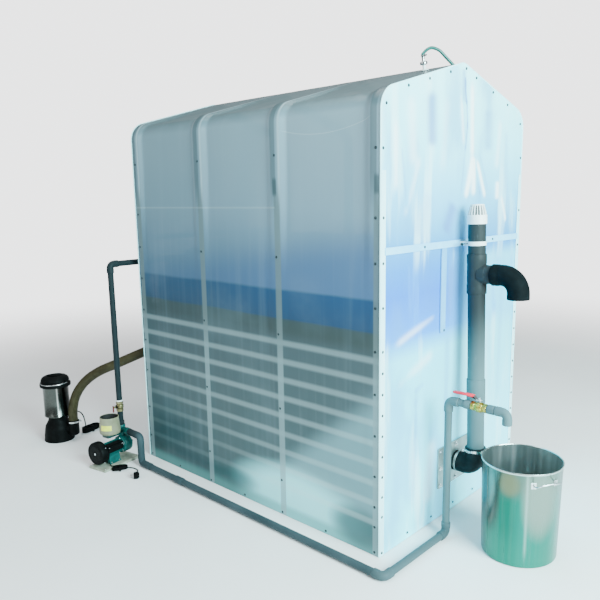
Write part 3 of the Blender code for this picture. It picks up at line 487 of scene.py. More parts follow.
def end_film_look():
    """The glossy, wrinkled film of the end walls, with painted light and shade on its folds; the front film
    glows and the rear film is painted paler.
    """
    look = Look("end_film", 0.34)
    along, across, up = look.axes()
    cloud = look.noise(3.4, (1, 1, 0.45))
    smear = look.noise(9.0, (1, 1, 0.14))
    look.tint = look.ramp(up / RIDGE_HEIGHT, (0.0, (0.13, 0.84, 0.94)), (0.4, (0.1, 0.74, 0.92)),
                          (0.445, (0.0, 0.25, 0.78)), (0.53, (0.0, 0.17, 0.66)), (0.58, (0.0, 0.22, 0.64)),
                          (0.63, (0.025, 0.31, 0.63)), (0.72, (0.11, 0.56, 0.82)), (0.85, (0.27, 0.86, 0.98)),
                          (1.0, (0.4, 0.96, 1.0)))
    look.lay(across.span(-0.15, 0.25, 0.0, 0.75) * up.span(1.28, 1.2), (0.15, 0.7, 0.84))
    look.lay(cloud.span(0.46, 0.66, 0.0, 0.45), (0.07, 0.3, 0.62))
    belt = up.near(1.06, 0.15, 0.1)
    look.lay(smear.span(0.52, 0.7, 0.0, 0.6), look.mix(belt, (0.62, 0.98, 1.0), (0.05, 0.36, 0.8)))
    # Painted highlight and shade on the folds: whiter where a fold's tone is positive, deeper blue where it
    # is negative.
    fold = look.node("Attribute", "Fac", {}, attribute_name="fold")
    look.lay(fold.span(0.0, -1.0, 0.0, 0.9), (0.08, 0.22, 0.52))
    look.lay(fold.span(0.0, 1.0, 0.0, 0.95), (0.92, 1.0, 1.0))
    # Painted light: the rear film is painted paler than the front.
    look.lay(along.span(0.0, -0.1, 0.0, 0.5), (0.34, 0.76, 0.88))
    look.paint(0.1)
    # Painted light: the front film glows in its own tint, more strongly low down.
    look.glow(along.span(0.0, 0.1) * up.span(0.85, 0.2, 0.32, 1.2))
    look.coat(0.06, 0.08)
    look.bump(look.noise(5.0, (1, 1, 0.35)), 0.4, 0.012)
    look.see_through(cloud.span(0.3, 0.7, 0.03, 0.1))
    return look


def bag_look():
    """Coated fabric: pale where it lies behind the slats, and a blue belt and blue top above them."""
    look = Look("bag_fabric", 0.45)
    tall = 1.4
    look.tint = look.ramp(
        look.axes()[2] / tall, (0.0, (0.66, 0.84, 0.88)), (0.89 / tall, (0.6, 0.76, 0.8)),
        (0.9 / tall, (0.1, 0.13, 0.12)), (0.962 / tall, (0.03, 0.14, 0.42)),
        (1.092 / tall, (0.03, 0.16, 0.46)), (1.1 / tall, (0.12, 0.34, 0.66)), (1.0, (0.16, 0.4, 0.7)))
    look.lay(look.noise(6.0).span(0.4, 0.7, 0.0, 0.25), (0.5, 0.6, 0.7))
    look.paint()
    look.bump(look.wave(320.0, "X") + look.wave(320.0, "Z"), 0.2, 0.0004)
    return look


def pipe_look():
    """Grey pipe with faint scuffs, with painted light and shade: paler at the front, darker behind and high
    up.
    """
    look = Look("grey_pipe", 0.34)
    along, _, up = look.axes()
    scuff = look.noise(38.0, (1, 1, 0.25), detail=5.0)
    look.tint = look.ramp(look.noise(5.0), (0.35, (0.03, 0.052, 0.06)), (0.7, (0.048, 0.078, 0.088)))
    # Painted light and shade: at the front, paler low down and darker high up, a little darker again at the
    # floor; darker towards the rear.
    pale = look.mix(up.span(1.02, 0.64), (0.023, 0.028, 0.029), (0.085, 0.142, 0.15))
    look.lay(along.span(0.87, 0.955), look.mix(up.span(0.1, 0.03), pale, (0.055, 0.09, 0.098)))
    look.lay(along.span(-0.7, -0.85, 0.0, 0.88), (0.009, 0.016, 0.018))
    look.lay(scuff.span(0.62, 0.8, 0.0, 0.16), (0.16, 0.22, 0.24))
    look.paint(0.08)
    look.set("Roughness", scuff.span(0.3, 0.7, 0.4, 0.54))
    look.bump(scuff, 0.12, 0.0006)
    return look


def hose_look():
    """The brown suction hose, with its reinforcing spiral showing as fine rings."""
    look = Look("brown_hose", 0.38)
    rings = look.wave(55.0, "X", 0.4)
    grime = look.noise(24.0, detail=4.0)
    look.tint = look.ramp(grime, (0.32, (0.02, 0.017, 0.006)), (0.72, (0.044, 0.039, 0.017)))
    look.lay(rings.span(0.3, 0.9, 0.0, 0.22), (0.08, 0.072, 0.038))
    look.paint(0.15)
    look.bump(rings, 0.35, 0.0012)
    return look


def disposer_look():
    """The disposer's polished body, finely brushed round its height, with a painted reflection: a dark side
    and a bright upright line.
    """
    look = Look("dark_chrome", 0.2, 1.0)
    brush = look.noise(60.0, (1, 1, 26.0), detail=4.0)
    side = across(look, DISPOSER, DISPOSER_RIGHT)
    look.tint = look.ramp(brush, (0.3, (0.055, 0.062, 0.056)), (0.7, (0.12, 0.13, 0.12)))
    # Painted reflection: darker to one side, with a bright upright line near the middle.
    look.lay(side.span(0.014, 0.028, 0.0, 0.85), (0.01, 0.012, 0.011))
    look.lay(side.near(0.006, 0.003, 0.008) * 0.9, (0.7, 0.72, 0.68))
    look.paint()
    look.set("Roughness", brush.span(0.3, 0.7, 0.14, 0.3))
    look.bump(brush, 0.05, 0.0003)
    return look


def across(look, middle, right):
    """How far a place lies to one side of an upright axis, in metres."""
    along, side, _ = look.axes()
    return along * right[0] + side * right[1] - (right[0] * middle.x + right[1] * middle.y)


def bucket_look():
    """Polished stainless steel with painted reflections: green where it mirrors the ground, long upright
    lights and darks.
    """
    look = Look("bucket_steel", 0.22, 1.0)
    side = across(look, BUCKET.translation, BUCKET_RIGHT)
    up = look.axes()[2]
    brush = look.noise(60.0, (1, 1, 0.02))
    wide = side.span(-0.06, 0.03)
    mirror = look.mix(wide, (0.0, 0.125, 0.085), (0.004, 0.215, 0.165))
    grey = look.mix(wide, (0.07, 0.12, 0.098), (0.12, 0.2, 0.16))
    look.tint = look.mix(up.span(0.36, 0.27), grey, mirror)
    # Painted reflections: greener low down, pale, beige and dark patches, a bright upright line and darker
    # edges.
    look.lay(up.span(0.2, 0.02, 0.0, 0.35), (0.002, 0.26, 0.18))
    patches = (((0.072, 0.285), (0.07, 0.16), 1.0, (0.225, 0.3, 0.25)),
               ((-0.047, 0.36), (0.044, 0.056), 0.85, (0.16, 0.165, 0.09)),
               ((-0.119, 0.28), (0.038, 0.15), 1.0, (0.04, 0.052, 0.044)),
               ((-0.123, 0.29), (0.024, 0.125), 0.9, (0.15, 0.195, 0.17)))
    for centre, half, depth, colour in patches:
        look.lay(blob(side, up, centre, half) * depth, colour)
    look.lay(side.near(0.022, 0.003, 0.016) * up.span(0.02, 0.1) * 0.5, (0.5, 0.66, 0.6))
    look.lay(abs(side).span(0.142, 0.16, 0.0, 0.6), (0.06, 0.08, 0.06))
    look.lay(brush.span(0.35, 0.75, 0.0, 0.05), (0.4, 0.52, 0.47))
    look.lay(up.span(0.4035, 0.4065, 0.0, 0.9), (0.56, 0.66, 0.62))
    look.paint()
    look.set("Roughness", brush.span(0.3, 0.7, 0.22, 0.28))
    look.bump(look.noise(8.0), 0.05, 0.002)
    return look


def bucket_inner_look():
    """The inside of the bucket: darker, with one soft painted highlight streaked down the far wall."""
    look = Look("bucket_inner_steel", 0.3, 1.0)
    side = across(look, BUCKET.translation, BUCKET_RIGHT)
    brush = look.noise(50.0, (1, 1, 0.02))
    look.tint = look.mix(brush.span(0.3, 0.7), (0.4, 0.46, 0.45), (0.5, 0.56, 0.55))
    # Painted highlight: a soft bright streak down the far wall.
    look.lay(side.near(-0.036, 0.004, 0.022) * 0.9, (1.0, 1.0, 1.0))
    look.paint()
    look.set("Roughness", brush.span(0.3, 0.7, 0.3, 0.36))
    return look


# Mesh code

def net(rows, count, wrap=False):
    """The faces between rows of count points each; with wrap each row's end joins its start."""
    return [(i * count + k, i * count + (k + 1) % count, (i + 1) * count + (k + 1) % count,
             (i + 1) * count + k) for i in range(rows - 1) for k in range(count if wrap else count - 1)]


def around(matrix, count, start=0.0):
    """A matrix turned about its own Z in equal steps."""
    return [matrix @ spin(start + 2 * pi * i / count) for i in range(count)]


class Shape:
    """Gathers faces of several finishes into one mesh."""

    def __init__(self):
        self.points = []
        self.faces = []
        self.marks = []
        self.looks = []

    def add(self, points, faces, look, matrix=IDENTITY):
        """Take in faces over their own points."""
        if look not in self.looks:
            self.looks.append(look)
        start = len(self.points)
        self.points += [matrix @ Vector(p) for p in points]
        self.faces += [tuple(start + i for i in face) for face in faces]
        self.marks += [self.looks.index(look)] * len(faces)

    def lathe(self, profile, look, matrix=IDENTITY, steps=48):
        """A solid of revolution about Z from (radius, height) points."""
        points = []
        rings = []
        for radius, height in profile:
            if radius < 1e-6:
                rings.append([len(points)] * steps)
                points.append((0, 0, height))
                continue
            rings.append(list(range(len(points), len(points) + steps)))
            points += [(radius * cos(2 * pi * i / steps), radius * sin(2 * pi * i / steps), height)
                       for i in range(steps)]
        faces = []
        for a, b in zip(rings, rings[1:]):
            for i in range(steps):
                j = (i + 1) % steps
                face = tuple(dict.fromkeys((a[i], a[j], b[j], b[i])))
                if len(face) > 2:
                    faces.append(face)
        self.add(points, faces, look, matrix)

    def turned(self, profile, look, matrix=IDENTITY, steps=48):
        """A solid of revolution whose two ends are closed flat to the axis."""
        self.lathe(((0, profile[0][1]), *profile, (0, profile[-1][1])), look, matrix, steps)

    def sweep(self, path, radius, look, matrix=IDENTITY, sides=20, caps=True):
        """A round bar along a path; radius is one number or one for each point."""
        path = [Vector(p) for p in path]
        sizes = radius if isinstance(radius, list) else [radius] * len(path)
        ways = [(path[min(i + 1, len(path) - 1)] - path[max(i - 1, 0)]).normalized()
                for i in range(len(path))]
        side = ways[0].orthogonal().normalized()
        points = []
        for here, way, size in zip(path, ways, sizes):
            side = (side - way * side.dot(way)).normalized()
            other = way.cross(side)
            points += [here + (side * cos(2 * pi * k / sides) + other * sin(2 * pi * k / sides)) * size
                       for k in range(sides)]
        faces = net(len(path), sides, wrap=True)
        if caps:
            last = (len(path) - 1) * sides
            faces += [tuple(range(sides - 1, -1, -1)), tuple(range(last, last + sides))]
        self.add(points, faces, look, matrix)

    def slab(self, outline, low, high, look, matrix=IDENTITY, bevel=0.0):
        """A flat piece from its outline in XY, with its edges rounded where bevel is given."""
        bm = bmesh.new()
        face = bm.faces.new([bm.verts.new((x, y, low)) for x, y in outline])
        for item in bmesh.ops.extrude_face_region(bm, geom=[face])["geom"]:
            if isinstance(item, bmesh.types.BMVert):
                item.co.z = high
        if bevel:
            bmesh.ops.bevel(bm, geom=list(bm.edges), offset=bevel, segments=2, affect="EDGES",
                            clamp_overlap=True)
        bm.verts.index_update()
        points = [v.co.copy() for v in bm.verts]
        faces = [tuple(v.index for v in face.verts) for face in bm.faces]
        bm.free()
        self.add(points, faces, look, matrix)

    def block(self, low, high, look, matrix=IDENTITY, bevel=0.0):
        """A box from its low corner to its high corner."""
        outline = ((low[0], low[1]), (high[0], low[1]), (high[0], high[1]), (low[0], high[1]))
        self.slab(outline, low[2], high[2], look, matrix, bevel)

    def screw(self, place, way, look, radius=0.0045, matrix=IDENTITY):
        """A domed screw head on its washer."""
        profile = ((radius * 1.35, 0), (radius * 1.35, 0.0006), (radius, 0.0008), (radius * 0.94, 0.0022),
                   (radius * 0.6, 0.0034), (0, 0.0038))
        self.lathe(profile, look, facing(place, way, matrix), 12)

    def bolt(self, place, way, look, radius=0.007, height=0.006, matrix=IDENTITY):
        """A hexagon head on its washer, with the end of its thread."""
        at = facing(place, way, matrix)
        self.lathe(((0, 0), (radius * 1.35, 0), (radius * 1.35, 0.0015), (0, 0.0015)), look, at, 20)
        self.lathe(((radius, 0.0015), (radius, height - 0.001), (radius * 0.88, height), (0, height)), look,
                   at, 6)
        self.lathe(((radius * 0.45, height), (radius * 0.45, height + 0.004), (0, height + 0.0045)), look,
                   at, 12)


def facing(place, way, matrix=IDENTITY):
    """A matrix that puts the origin at a place with +Z along a direction, both seen through a matrix."""
    way = (matrix.to_3x3() @ Vector(way)).normalized()
    turn = UP.rotation_difference(way).to_matrix().to_4x4()
    return shift(matrix @ Vector(place)) @ turn


def piece(name, shape, stands_for=(), body=BODY, sharp=38):
    """Make an object of a gathered shape that rides on a body."""
    data = bpy.data.meshes.new(name)
    data.from_pydata([tuple(p) for p in shape.points], [], shape.faces)
    for look in shape.looks:
        data.materials.append(look)
    data.polygons.foreach_set("material_index", shape.marks)
    bm = bmesh.new()
    bm.from_mesh(data)
    bmesh.ops.recalc_face_normals(bm, faces=bm.faces)
    bm.to_mesh(data)
    bm.free()
    data.shade_smooth()
    data.set_sharp_from_angle(angle=radians(sharp))
    made = bpy.data.objects.new(name, data)
    bpy.context.scene.collection.objects.link(made)
    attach(made, body)
    if stands_for:
        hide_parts(*stands_for)
    return made


def arc(centre, radius, start, end, steps):
    """Points on an arc in a plane."""
    turn = (end - start) / steps
    return [(centre[0] + radius * cos(start + turn * i), centre[1] + radius * sin(start + turn * i))
            for i in range(steps + 1)]


def portal(inset, foot, eave_steps=10):
    """The gable-shaped line from the near foot over the ridge to the far foot."""
    wall = HALF_WIDTH - inset
    drop = inset / cos(ROOF_ANGLE)
    eave = EAVE_HEIGHT + inset * ROOF_SLOPE - drop
    ridge = RIDGE_HEIGHT - drop
    eave_radius = EAVE_RADIUS - inset
    ridge_radius = RIDGE_RADIUS - inset
    back = eave_radius * tan((pi / 2 - ROOF_ANGLE) / 2)
    line = [(-wall, foot)]
    line += arc((-wall + eave_radius, eave - back), eave_radius, pi, pi / 2 + ROOF_ANGLE, eave_steps)
    line += arc((0.0, ridge - ridge_radius / cos(ROOF_ANGLE)), ridge_radius, pi / 2 + ROOF_ANGLE, pi / 2, 4)
    return line + [(-y, z) for y, z in reversed(line[:-1])]


def evenly(line, spacing):
    """Points along a broken line, about a spacing apart, with its corners kept."""
    points = [Vector(line[0])]
    for a, b in zip(line, line[1:]):
        a = Vector(a)
        b = Vector(b)
        count = max(1, round((b - a).length / spacing))
        points += [a.lerp(b, (i + 1) / count) for i in range(count)]
    return points


def smooth_path(points, spacing):
    """Evenly spaced points on a Catmull-Rom curve through the given points."""
    knots = [Vector(p) for p in points]
    knots = [2 * knots[0] - knots[1]] + knots + [2 * knots[-1] - knots[-2]]
    fine = []
    for a, b, c, d in zip(knots, knots[1:], knots[2:], knots[3:]):
        for i in range(24):
            t = i / 24
            fine.append(0.5 * (2 * b + (c - a) * t + (2 * a - 5 * b + 4 * c - d) * t ** 2
                               + (3 * b - a - 3 * c + d) * t ** 3))
    fine.append(knots[-2])
    count = max(2, round(length_of(fine) / spacing))
    stride = length_of(fine) / count
    path = [fine[0]]
    travelled = 0.0
    for a, b in zip(fine, fine[1:]):
        length = (b - a).length
        while len(path) < count and travelled + length >= stride * len(path):
            path.append(a.lerp(b, (stride * len(path) - travelled) / length))
        travelled += length
    return path + [fine[-1]]


def square_path(points, spacing):
    """A smooth path whose first and last stretches stay straight."""
    return [Vector(points[0])] + smooth_path(points[1:-1], spacing) + [Vector(points[-1])]


# Cords

def length_of(path):
    """The length of a path."""
    return sum((b - a).length for a, b in zip(path, path[1:]))


def hank_turns(centre, turn, half, radius, bottom, pitch, count, early=0.0):
    """The turns of a hank, clockwise and a pitch lower each time, from early in a turn before the first."""
    loop = 4 * half + 2 * pi * radius
    level = 2 * half + pi * radius
    steps = 36
    path = []
    for i in range(-round(early * steps), steps * count + 1):
        place = loop * (i % steps) / steps
        if place < 2 * half:
            x, y = place - half, radius
        elif place < level:
            a = pi / 2 - (place - 2 * half) / radius
            x, y = half + radius * cos(a), radius * sin(a)
        elif place < level + 2 * half:
            x, y = half - (place - level), -radius
        else:
            a = -pi / 2 - (place - level - 2 * half) / radius
            x, y = -half + radius * cos(a), radius * sin(a)
        fallen = i // steps + max(0.0, place - level) / (loop - level)
        local = Vector((x, y, bottom + pitch * (count - fallen)))
        path.append(centre + Matrix.Rotation(turn, 3, "Z") @ local)
    return path


def make_tie(name, centre, turn, half, top, look):
    """A flat strap round the middle of a hank."""
    corner = 0.003
    low = 0.0004
    outline = []
    for y, z, start in ((half - corner, top - corner, 0), (corner - half, top - corner, pi / 2),
                        (corner - half, low + corner, pi), (half - corner, low + corner, 1.5 * pi)):
        outline += arc((y, z), corner, start, start + pi / 2, 5)
    count = len(outline)
    points = []
    for x in (-0.005, 0.005):
        for thickness in (0.0, 0.0008):
            points += [(x, y - copysign(thickness, y), z - copysign(thickness, z - top / 2))
                       for y, z in outline]
    faces = [(a * count + i, a * count + (i + 1) % count, b * count + (i + 1) % count, b * count + i)
             for i in range(count) for a, b in ((0, 1), (1, 3), (3, 2), (2, 0))]
    shape = Shape()
    shape.add(points, faces, look, shift(centre) @ spin(turn))
    return piece(name, shape)


def strain_relief(name, place, way, radius, look):
    """A tapered, ringed sleeve where a lead leaves its housing."""
    profile = [(0, 0), (radius * 2.1, 0), (radius * 2.1, 0.003)]
    for i in range(5):
        z = 0.004 + 0.0042 * i
        wide = radius * (1.95 - 0.15 * i)
        profile += [(wide, z), (wide, z + 0.0024), (wide * 0.86, z + 0.0028), (wide * 0.86, z + 0.0038)]
    profile += [(radius * 1.12, 0.025), (radius * 0.9, 0.0252)]
    shape = Shape()
    shape.lathe(profile, look, facing(place, way), 20)
    return piece(name, shape)


def make_cord(name, path, radius, looks, nodes):
    """A free lead as a mesh tube along its path."""
    shape = Shape()
    shape.sweep(path, radius, looks["black"], sides=12)
    made = piece(name, shape, stands_for=nodes)
    tuple(path[0])
    length_of(path)
    [tuple(p) for p in path]


def make_plug(name, centre, turn, looks, node):
    """A moulded plug on its side with three flat pins."""
    matrix = shift(centre) @ spin(turn)
    shape = Shape()
    outline = ((-0.0195, -0.0155), (0.0195, -0.0155), (0.0195, 0.004), (0.009, 0.0155), (-0.009, 0.0155),
               (-0.0195, 0.004))
    shape.slab(outline, -0.0143, 0.0143, looks["black"], matrix, bevel=0.003)
    for x, z in ((-0.009, 0.005), (0.009, 0.005), (0.0, -0.008)):
        shape.block((x - 0.0032, -0.033, z - 0.001), (x + 0.0032, -0.015, z + 0.001), looks["steel"], matrix,
                    bevel=0.0004)
    return piece(name, shape, stands_for=[node])


def bend_down(knee, heading, radius, steps=6):
    """A quarter turn from straight down at the knee to level along a heading."""
    return [knee + heading * radius * (1 - cos(pi / 2 * i / steps)) - UP * radius * sin(pi / 2 * i / steps)
            for i in range(steps + 1)]


def make_pump_cord(looks):
    """The pump's lead: down from the terminal box, over the board into its hank, and to the plug."""
    radius = 0.003
    turn = radians(60)
    centre = Vector((-0.789, -0.841, 0.0))
    out = Vector((cos(turn), sin(turn), 0))
    left = Vector((-out.y, out.x, 0))
    bend = 0.024
    leave = PUMP @ Vector((0.058, -0.152, SHAFT_HEIGHT - 0.0083))
    heading = PUMP.to_3x3() @ Vector((cos(radians(-7)), sin(radians(-7)), 0))
    path = [leave, leave - UP * 0.014, leave - UP * 0.028]
    path += bend_down(Vector((leave.x, leave.y, 0.0418)), heading, bend)
    meet = centre - out * 0.0235 + left * 0.02
    for i in range(5):
        a = radians(48 - 12 * i)
        place = meet - out * bend * sin(a) + left * bend * (1 - cos(a))
        path.append(place + UP * (0.0188 + 0.0034 * i / 4))
    path += hank_turns(centre, turn, 0.021, 0.02, 0.0042, 0.006, 3)[1:]
    path += [centre + left * 0.02 + UP * 0.004, centre + out * 0.021 + left * 0.02 + UP * 0.0038]
    ahead = Vector((cos(radians(-32)), sin(radians(-32)), 0))
    plug_at = Vector((-0.6264, -0.8363, 0.015))
    entry = plug_at - ahead * 0.0203
    path += [(-0.7855, -0.799, 0.0036), (-0.768, -0.7868, 0.0036), (-0.745, -0.7787, 0.0036),
             (-0.722, -0.7765, 0.0036), (-0.701, -0.7815, 0.004), (-0.6815, -0.7965, 0.0075),
             entry - ahead * 0.022 - UP * 0.002, entry - ahead * 0.01 - UP * 0.0002, entry]
    pieces = [make_plug("pump_plug_body", plug_at, radians(-32), looks, "pump_plug"),
              make_tie("pump_cord_tie", centre, turn, 0.024, 0.0262, looks["black"]),
              strain_relief("pump_cord_relief", leave, -UP, radius, looks["black"])]
    make_cord("pump_cord", smooth_path(path, 0.0045), radius, looks,
              ["pump_cord_lead", "pump_cord_hank", "pump_cord_tail"])


def make_disposer_cord(looks):
    """The disposer's lead: up over the outlet, down onto its hank, and to the plug at its end."""
    radius = 0.0038
    turn = radians(102)
    centre = Vector((-1.5, -0.628, 0.0))
    out = Vector((cos(turn), sin(turn), 0))
    left = Vector((-out.y, out.x, 0))
    aim = Vector((0.48, 0.64, 0.6))
    leave = DISPOSER + UP * 0.145 + Vector((0.6, 0.8, 0)) * 0.0594
    wide = 0.0237
    turns = hank_turns(centre, turn, 0.0383, wide, 0.0046, 0.0076, 4, early=0.117)
    bend = 0.03
    path = [leave, leave + aim * 0.014, leave + aim * 0.028, (-1.4665, -0.748, 0.1715),
            (-1.4575, -0.728, 0.17), (-1.4535, -0.711, 0.156), (-1.454, -0.6975, 0.13), (-1.457, -0.689, 0.1)]
    path += bend_down(turns[0] - left * bend + UP * bend, left, bend)[:-1] + turns
    path += [centre + out * x + left * y + UP * z
             for x, y, z in ((-0.02, wide, 0.0046), (0.0, wide, 0.0044), (0.02, 0.0195, 0.0042),
                             (0.04, 0.011, 0.0042), (0.058, 0.003, 0.0048), (0.07, 0.0003, 0.0064),
                             (0.0785, 0.0, 0.0078))]
    plug_at = centre + out * 0.0943 + UP * 0.015
    pieces = [make_plug("disposer_plug_body", plug_at, turn + pi / 2, looks, "disposer_plug"),
              make_tie("disposer_cord_tie", centre, turn, 0.0284, 0.0398, looks["black"]),
              strain_relief("disposer_cord_relief", leave, aim, radius, looks["black"])]
    make_cord("disposer_cord", smooth_path(path, 0.006), radius, looks,
              ["disposer_cord_lead", "disposer_cord_hank"])


def make_cords(looks):
    """The leads of the pump and the disposer, each with its hank, tie, strain relief and plug."""
    make_pump_cord(looks)
    make_disposer_cord(looks)


# The enclosure

def rib_distance(x):
    """How far a place along the length is from the nearest rib's edge."""
    return max(0.0, min(abs(x - rib) for rib in RIB_PLACES) - RIB_HALF)


def step(value, low, high):
    """A smooth step from 0 to 1."""
    t = min(1.0, max(0.0, (value - low) / (high - low)))
    return t * t * (3 - 2 * t)


def make_cover(looks):
    """The milky skin over the ribs, drawn in a little between them."""
    shape = Shape()
    reach = HALF_LENGTH - SHEET - GAP
    line = evenly(portal(0.0008, 0.002), 0.035)
    columns = [-reach + 2 * reach * i / 200 for i in range(201)]
    count = len(line)
    inward = []
    for k in range(count):
        way = line[min(k + 1, count - 1)] - line[max(k - 1, 0)]
        inward.append(Vector((way.y, -way.x)).normalized())
    points = []
    for x in columns:
        apart = step(rib_distance(x), 0.0, 0.045)
        for (y, z), turn in zip(line, inward):
            outer = step(abs(y), 0.06, 0.42)
            slack = apart * step(z, 0.036, 0.12)
            sag = slack * outer * (0.0015 + 0.0125 * step(z, 1.1, 1.7))
            ripple = slack * noise.noise(Vector((x * 5.0, y * 2.0, z * 1.6))) * 0.0012
            shift = turn * (sag + ripple + 0.0007)
            points.append((x, y + shift.x, z + shift.y))
    shape.add(points, net(len(columns), count), looks["cover"])
    piece("cover_skin", shape, ["side_sheet_near", "side_sheet_far", "roof_sheet"], sharp=60)


def fold(y, z, start, end, width, tone):
    """The strength of one long fold that runs between two places and fades at both."""
    start = Vector(start)
    end = Vector(end)
    along = end - start
    share = (Vector((y, z)) - start).dot(along) / along.length_squared
    nearest = start + along * min(1.0, max(0.0, share))
    gap = (Vector((y, z)) - nearest).length
    fade = step(share, -0.08, 0.15) * (1 - step(share, 0.85, 1.08))
    return tone * exp(-(gap / width) ** 2) * fade


FOLD_HEIGHT = 0.0045
# Creases of the end film: start and end (across, height), width and tone; a positive tone lifts the film and
# is painted as light, a negative one sinks it and is painted as shade.
FOLDS = (((0.0, 2.05), (0.01, 1.9), 0.022, -0.55), ((0.015, 2.01), (0.036, 1.9), 0.006, -0.8),
         ((0.036, 1.92), (0.05, 1.8), 0.006, -0.8), ((0.05, 1.82), (0.032, 1.7), 0.007, -0.7),
         ((0.032, 1.72), (0.004, 1.5), 0.006, -0.45), ((0.075, 2.0), (0.09, 1.66), 0.02, 0.85),
         ((-0.02, 1.95), (0.015, 1.72), 0.014, 0.55), ((0.095, 1.67), (0.04, 1.49), 0.02, 0.95),
         ((0.105, 1.67), (0.11, 1.5), 0.022, 0.9), ((0.118, 1.66), (0.187, 1.49), 0.005, -0.65),
         ((0.135, 1.66), (0.225, 1.49), 0.015, 0.9), ((0.16, 1.7), (0.262, 1.52), 0.007, -0.4),
         ((-0.245, 1.93), (-0.235, 1.7), 0.045, -0.75), ((-0.13, 1.92), (-0.16, 1.6), 0.035, 0.3),
         ((0.235, 1.9), (0.25, 1.7), 0.055, -0.5), ((0.35, 1.86), (0.33, 1.62), 0.03, 0.45),
         ((0.42, 1.82), (0.44, 1.5), 0.03, -0.35), ((0.345, 1.57), (0.345, 1.48), 0.022, 0.85),
         ((0.39, 1.5), (0.446, 1.37), 0.013, 0.7), ((-0.4, 1.9), (-0.38, 1.62), 0.04, 0.45),
         ((-0.54, 1.85), (-0.53, 1.55), 0.014, -0.35), ((-0.505, 1.8), (-0.5, 1.52), 0.018, 0.55),
         ((-0.46, 1.7), (-0.42, 1.45), 0.012, -0.4), ((-0.33, 1.66), (-0.44, 1.42), 0.02, 0.4),
         ((-0.05, 1.47), (-0.12, 1.34), 0.045, -0.75), ((-0.25, 1.52), (-0.35, 1.34), 0.07, -0.3),
         ((0.1, 1.46), (0.12, 1.34), 0.04, -0.35), ((-0.3, 1.24), (-0.2, 0.96), 0.09, -0.25),
         ((-0.06, 1.2), (-0.075, 0.95), 0.035, -0.45), ((-0.5, 0.9), (-0.18, 0.99), 0.02, 0.5),
         ((-0.48, 0.72), (-0.2, 0.82), 0.03, 0.45), ((-0.45, 0.78), (-0.33, 0.6), 0.045, -0.25),
         ((-0.08, 0.9), (-0.085, 0.45), 0.03, -0.4), ((-0.33, 0.66), (-0.345, 0.12), 0.018, -0.4),
         ((-0.345, 0.67), (-0.27, 0.69), 0.018, -0.35), ((-0.5, 0.4), (-0.46, 0.08), 0.05, -0.3),
         ((-0.2, 0.42), (-0.23, 0.1), 0.05, 0.35), ((0.25, 0.9), (0.28, 0.3), 0.06, 0.35),
         ((0.44, 1.2), (0.43, 0.4), 0.03, -0.3))


def make_end_film(side, looks):
    """One end wall: a film with long vertical creases, flat at its rim and under the bars."""
    shape = Shape()
    rim = portal(0.0012, 0.002)
    columns = 150
    rows = 210
    face = side * (HALF_LENGTH - SHEET / 2)
    points = []
    fold_light_and_shade = []
    for i in range(columns + 1):
        y = -HALF_WIDTH + 0.0012 + (2 * HALF_WIDTH - 0.0024) * i / columns
        height = outline_height(y, rim)
        for k in range(rows + 1):
            z = 0.002 + (height - 0.002) * k / rows
            tone = sum(fold(y * side, z, *crease) for crease in FOLDS)
            lift = tone * FOLD_HEIGHT + noise.noise(Vector((y * 6.0, z * 3.0, 4.0 * side))) * 0.0022
            lift *= calm_share(y, z, height)
            points.append((face + side * min(lift, 0.0013 + max(0.0, lift) * 0.6), y, z))
            # Each point keeps its crease tone for the film's painted light and shade.
            fold_light_and_shade.append(max(-1.0, min(1.0, tone)) * step(HALF_WIDTH - abs(y), 0.01, 0.05))
    shape.add(points, net(columns + 1, rows + 1), looks["end_film"])
    node = "end_sheet_front" if side > 0 else "end_sheet_rear"
    made = piece(node.replace("sheet", "film"), shape, [node], sharp=70)
    made.data.attributes.new("fold", "FLOAT", "POINT").data.foreach_set("value", fold_light_and_shade)


def calm_share(y, z, height):
    """How freely the film may lift: not at all at its rim, under the bars and behind the plate."""
    calm = step(HALF_WIDTH - abs(y), 0.05, 0.11) * step(height - z, 0.05, 0.12) * step(z, 0.03, 0.1)
    calm *= 1 - exp(-((z - BAR_Z) / 0.03) ** 2)
    calm *= 1 - exp(-(((z - OUTLET_Z) / 0.14) ** 4 + (y / 0.19) ** 4))
    if 0.88 < z < 1.3:
        calm *= 1 - exp(-((y + 0.138) / 0.035) ** 4)
    return calm


def outline_height(y, rim):
    """The height of the gable's outline over a place across the width."""
    for (y0, z0), (y1, z1) in zip(rim[1:], rim[2:-1]):
        if y0 <= y <= y1:
            return z0 + (z1 - z0) * (y - y0) / max(1e-9, y1 - y0)
    return rim[1][1]


def make_bag(looks):
    """The slurry bag: slack coated fabric with a welded belt, crowned by its gas."""
    shape = Shape()
    half_x = 0.802
    half_y = 0.5405
    count = 60
    up = 40
    crown = 14
    corner = 26
    ring = []
    for i in range(count):
        angle = 2 * pi * (i + 0.5) / count
        c = cos(angle)
        s = sin(angle)
        size = (abs(c) ** corner + abs(s) ** corner) ** (-1 / corner)
        ring.append((c * size, s * size))
    points = []
    for k in range(up + 1):
        z = BAG_HEIGHT * k / up
        for u, v in ring:
            belt = exp(-((z - BELT_LOW) / 0.01) ** 2) + exp(-((z - BELT_HIGH) / 0.008) ** 2)
            slack = 0.004 + 0.004 * noise.noise(Vector((u * 4, v * 4, z * 6))) + 0.004 * min(1.0, belt)
            points.append((u * (half_x - slack), v * (half_y - slack), z + 0.0005))
    for k in range(1, crown + 1):
        share = 1 - k / crown
        for a, b in ((u * share, v * share) for u, v in ring):
            lift = BAG_CROWN * (max(0.0, (1 - abs(a) ** 6)) * max(0.0, (1 - abs(b) ** 4))) ** 0.7
            lift += 0.008 * noise.noise(Vector((a * 5, b * 5, 2.0))) * (1 - share)
            points.append((a * half_x * 0.994, b * half_y * 0.992, BAG_HEIGHT + lift * 0.98))
    faces = net(up + crown + 1, count, wrap=True) + [tuple(range(count - 1, -1, -1))]
    shape.add(points, faces, looks["bag"])
    piece("bag_fabric", shape, ["slurry_bag"], sharp=60)


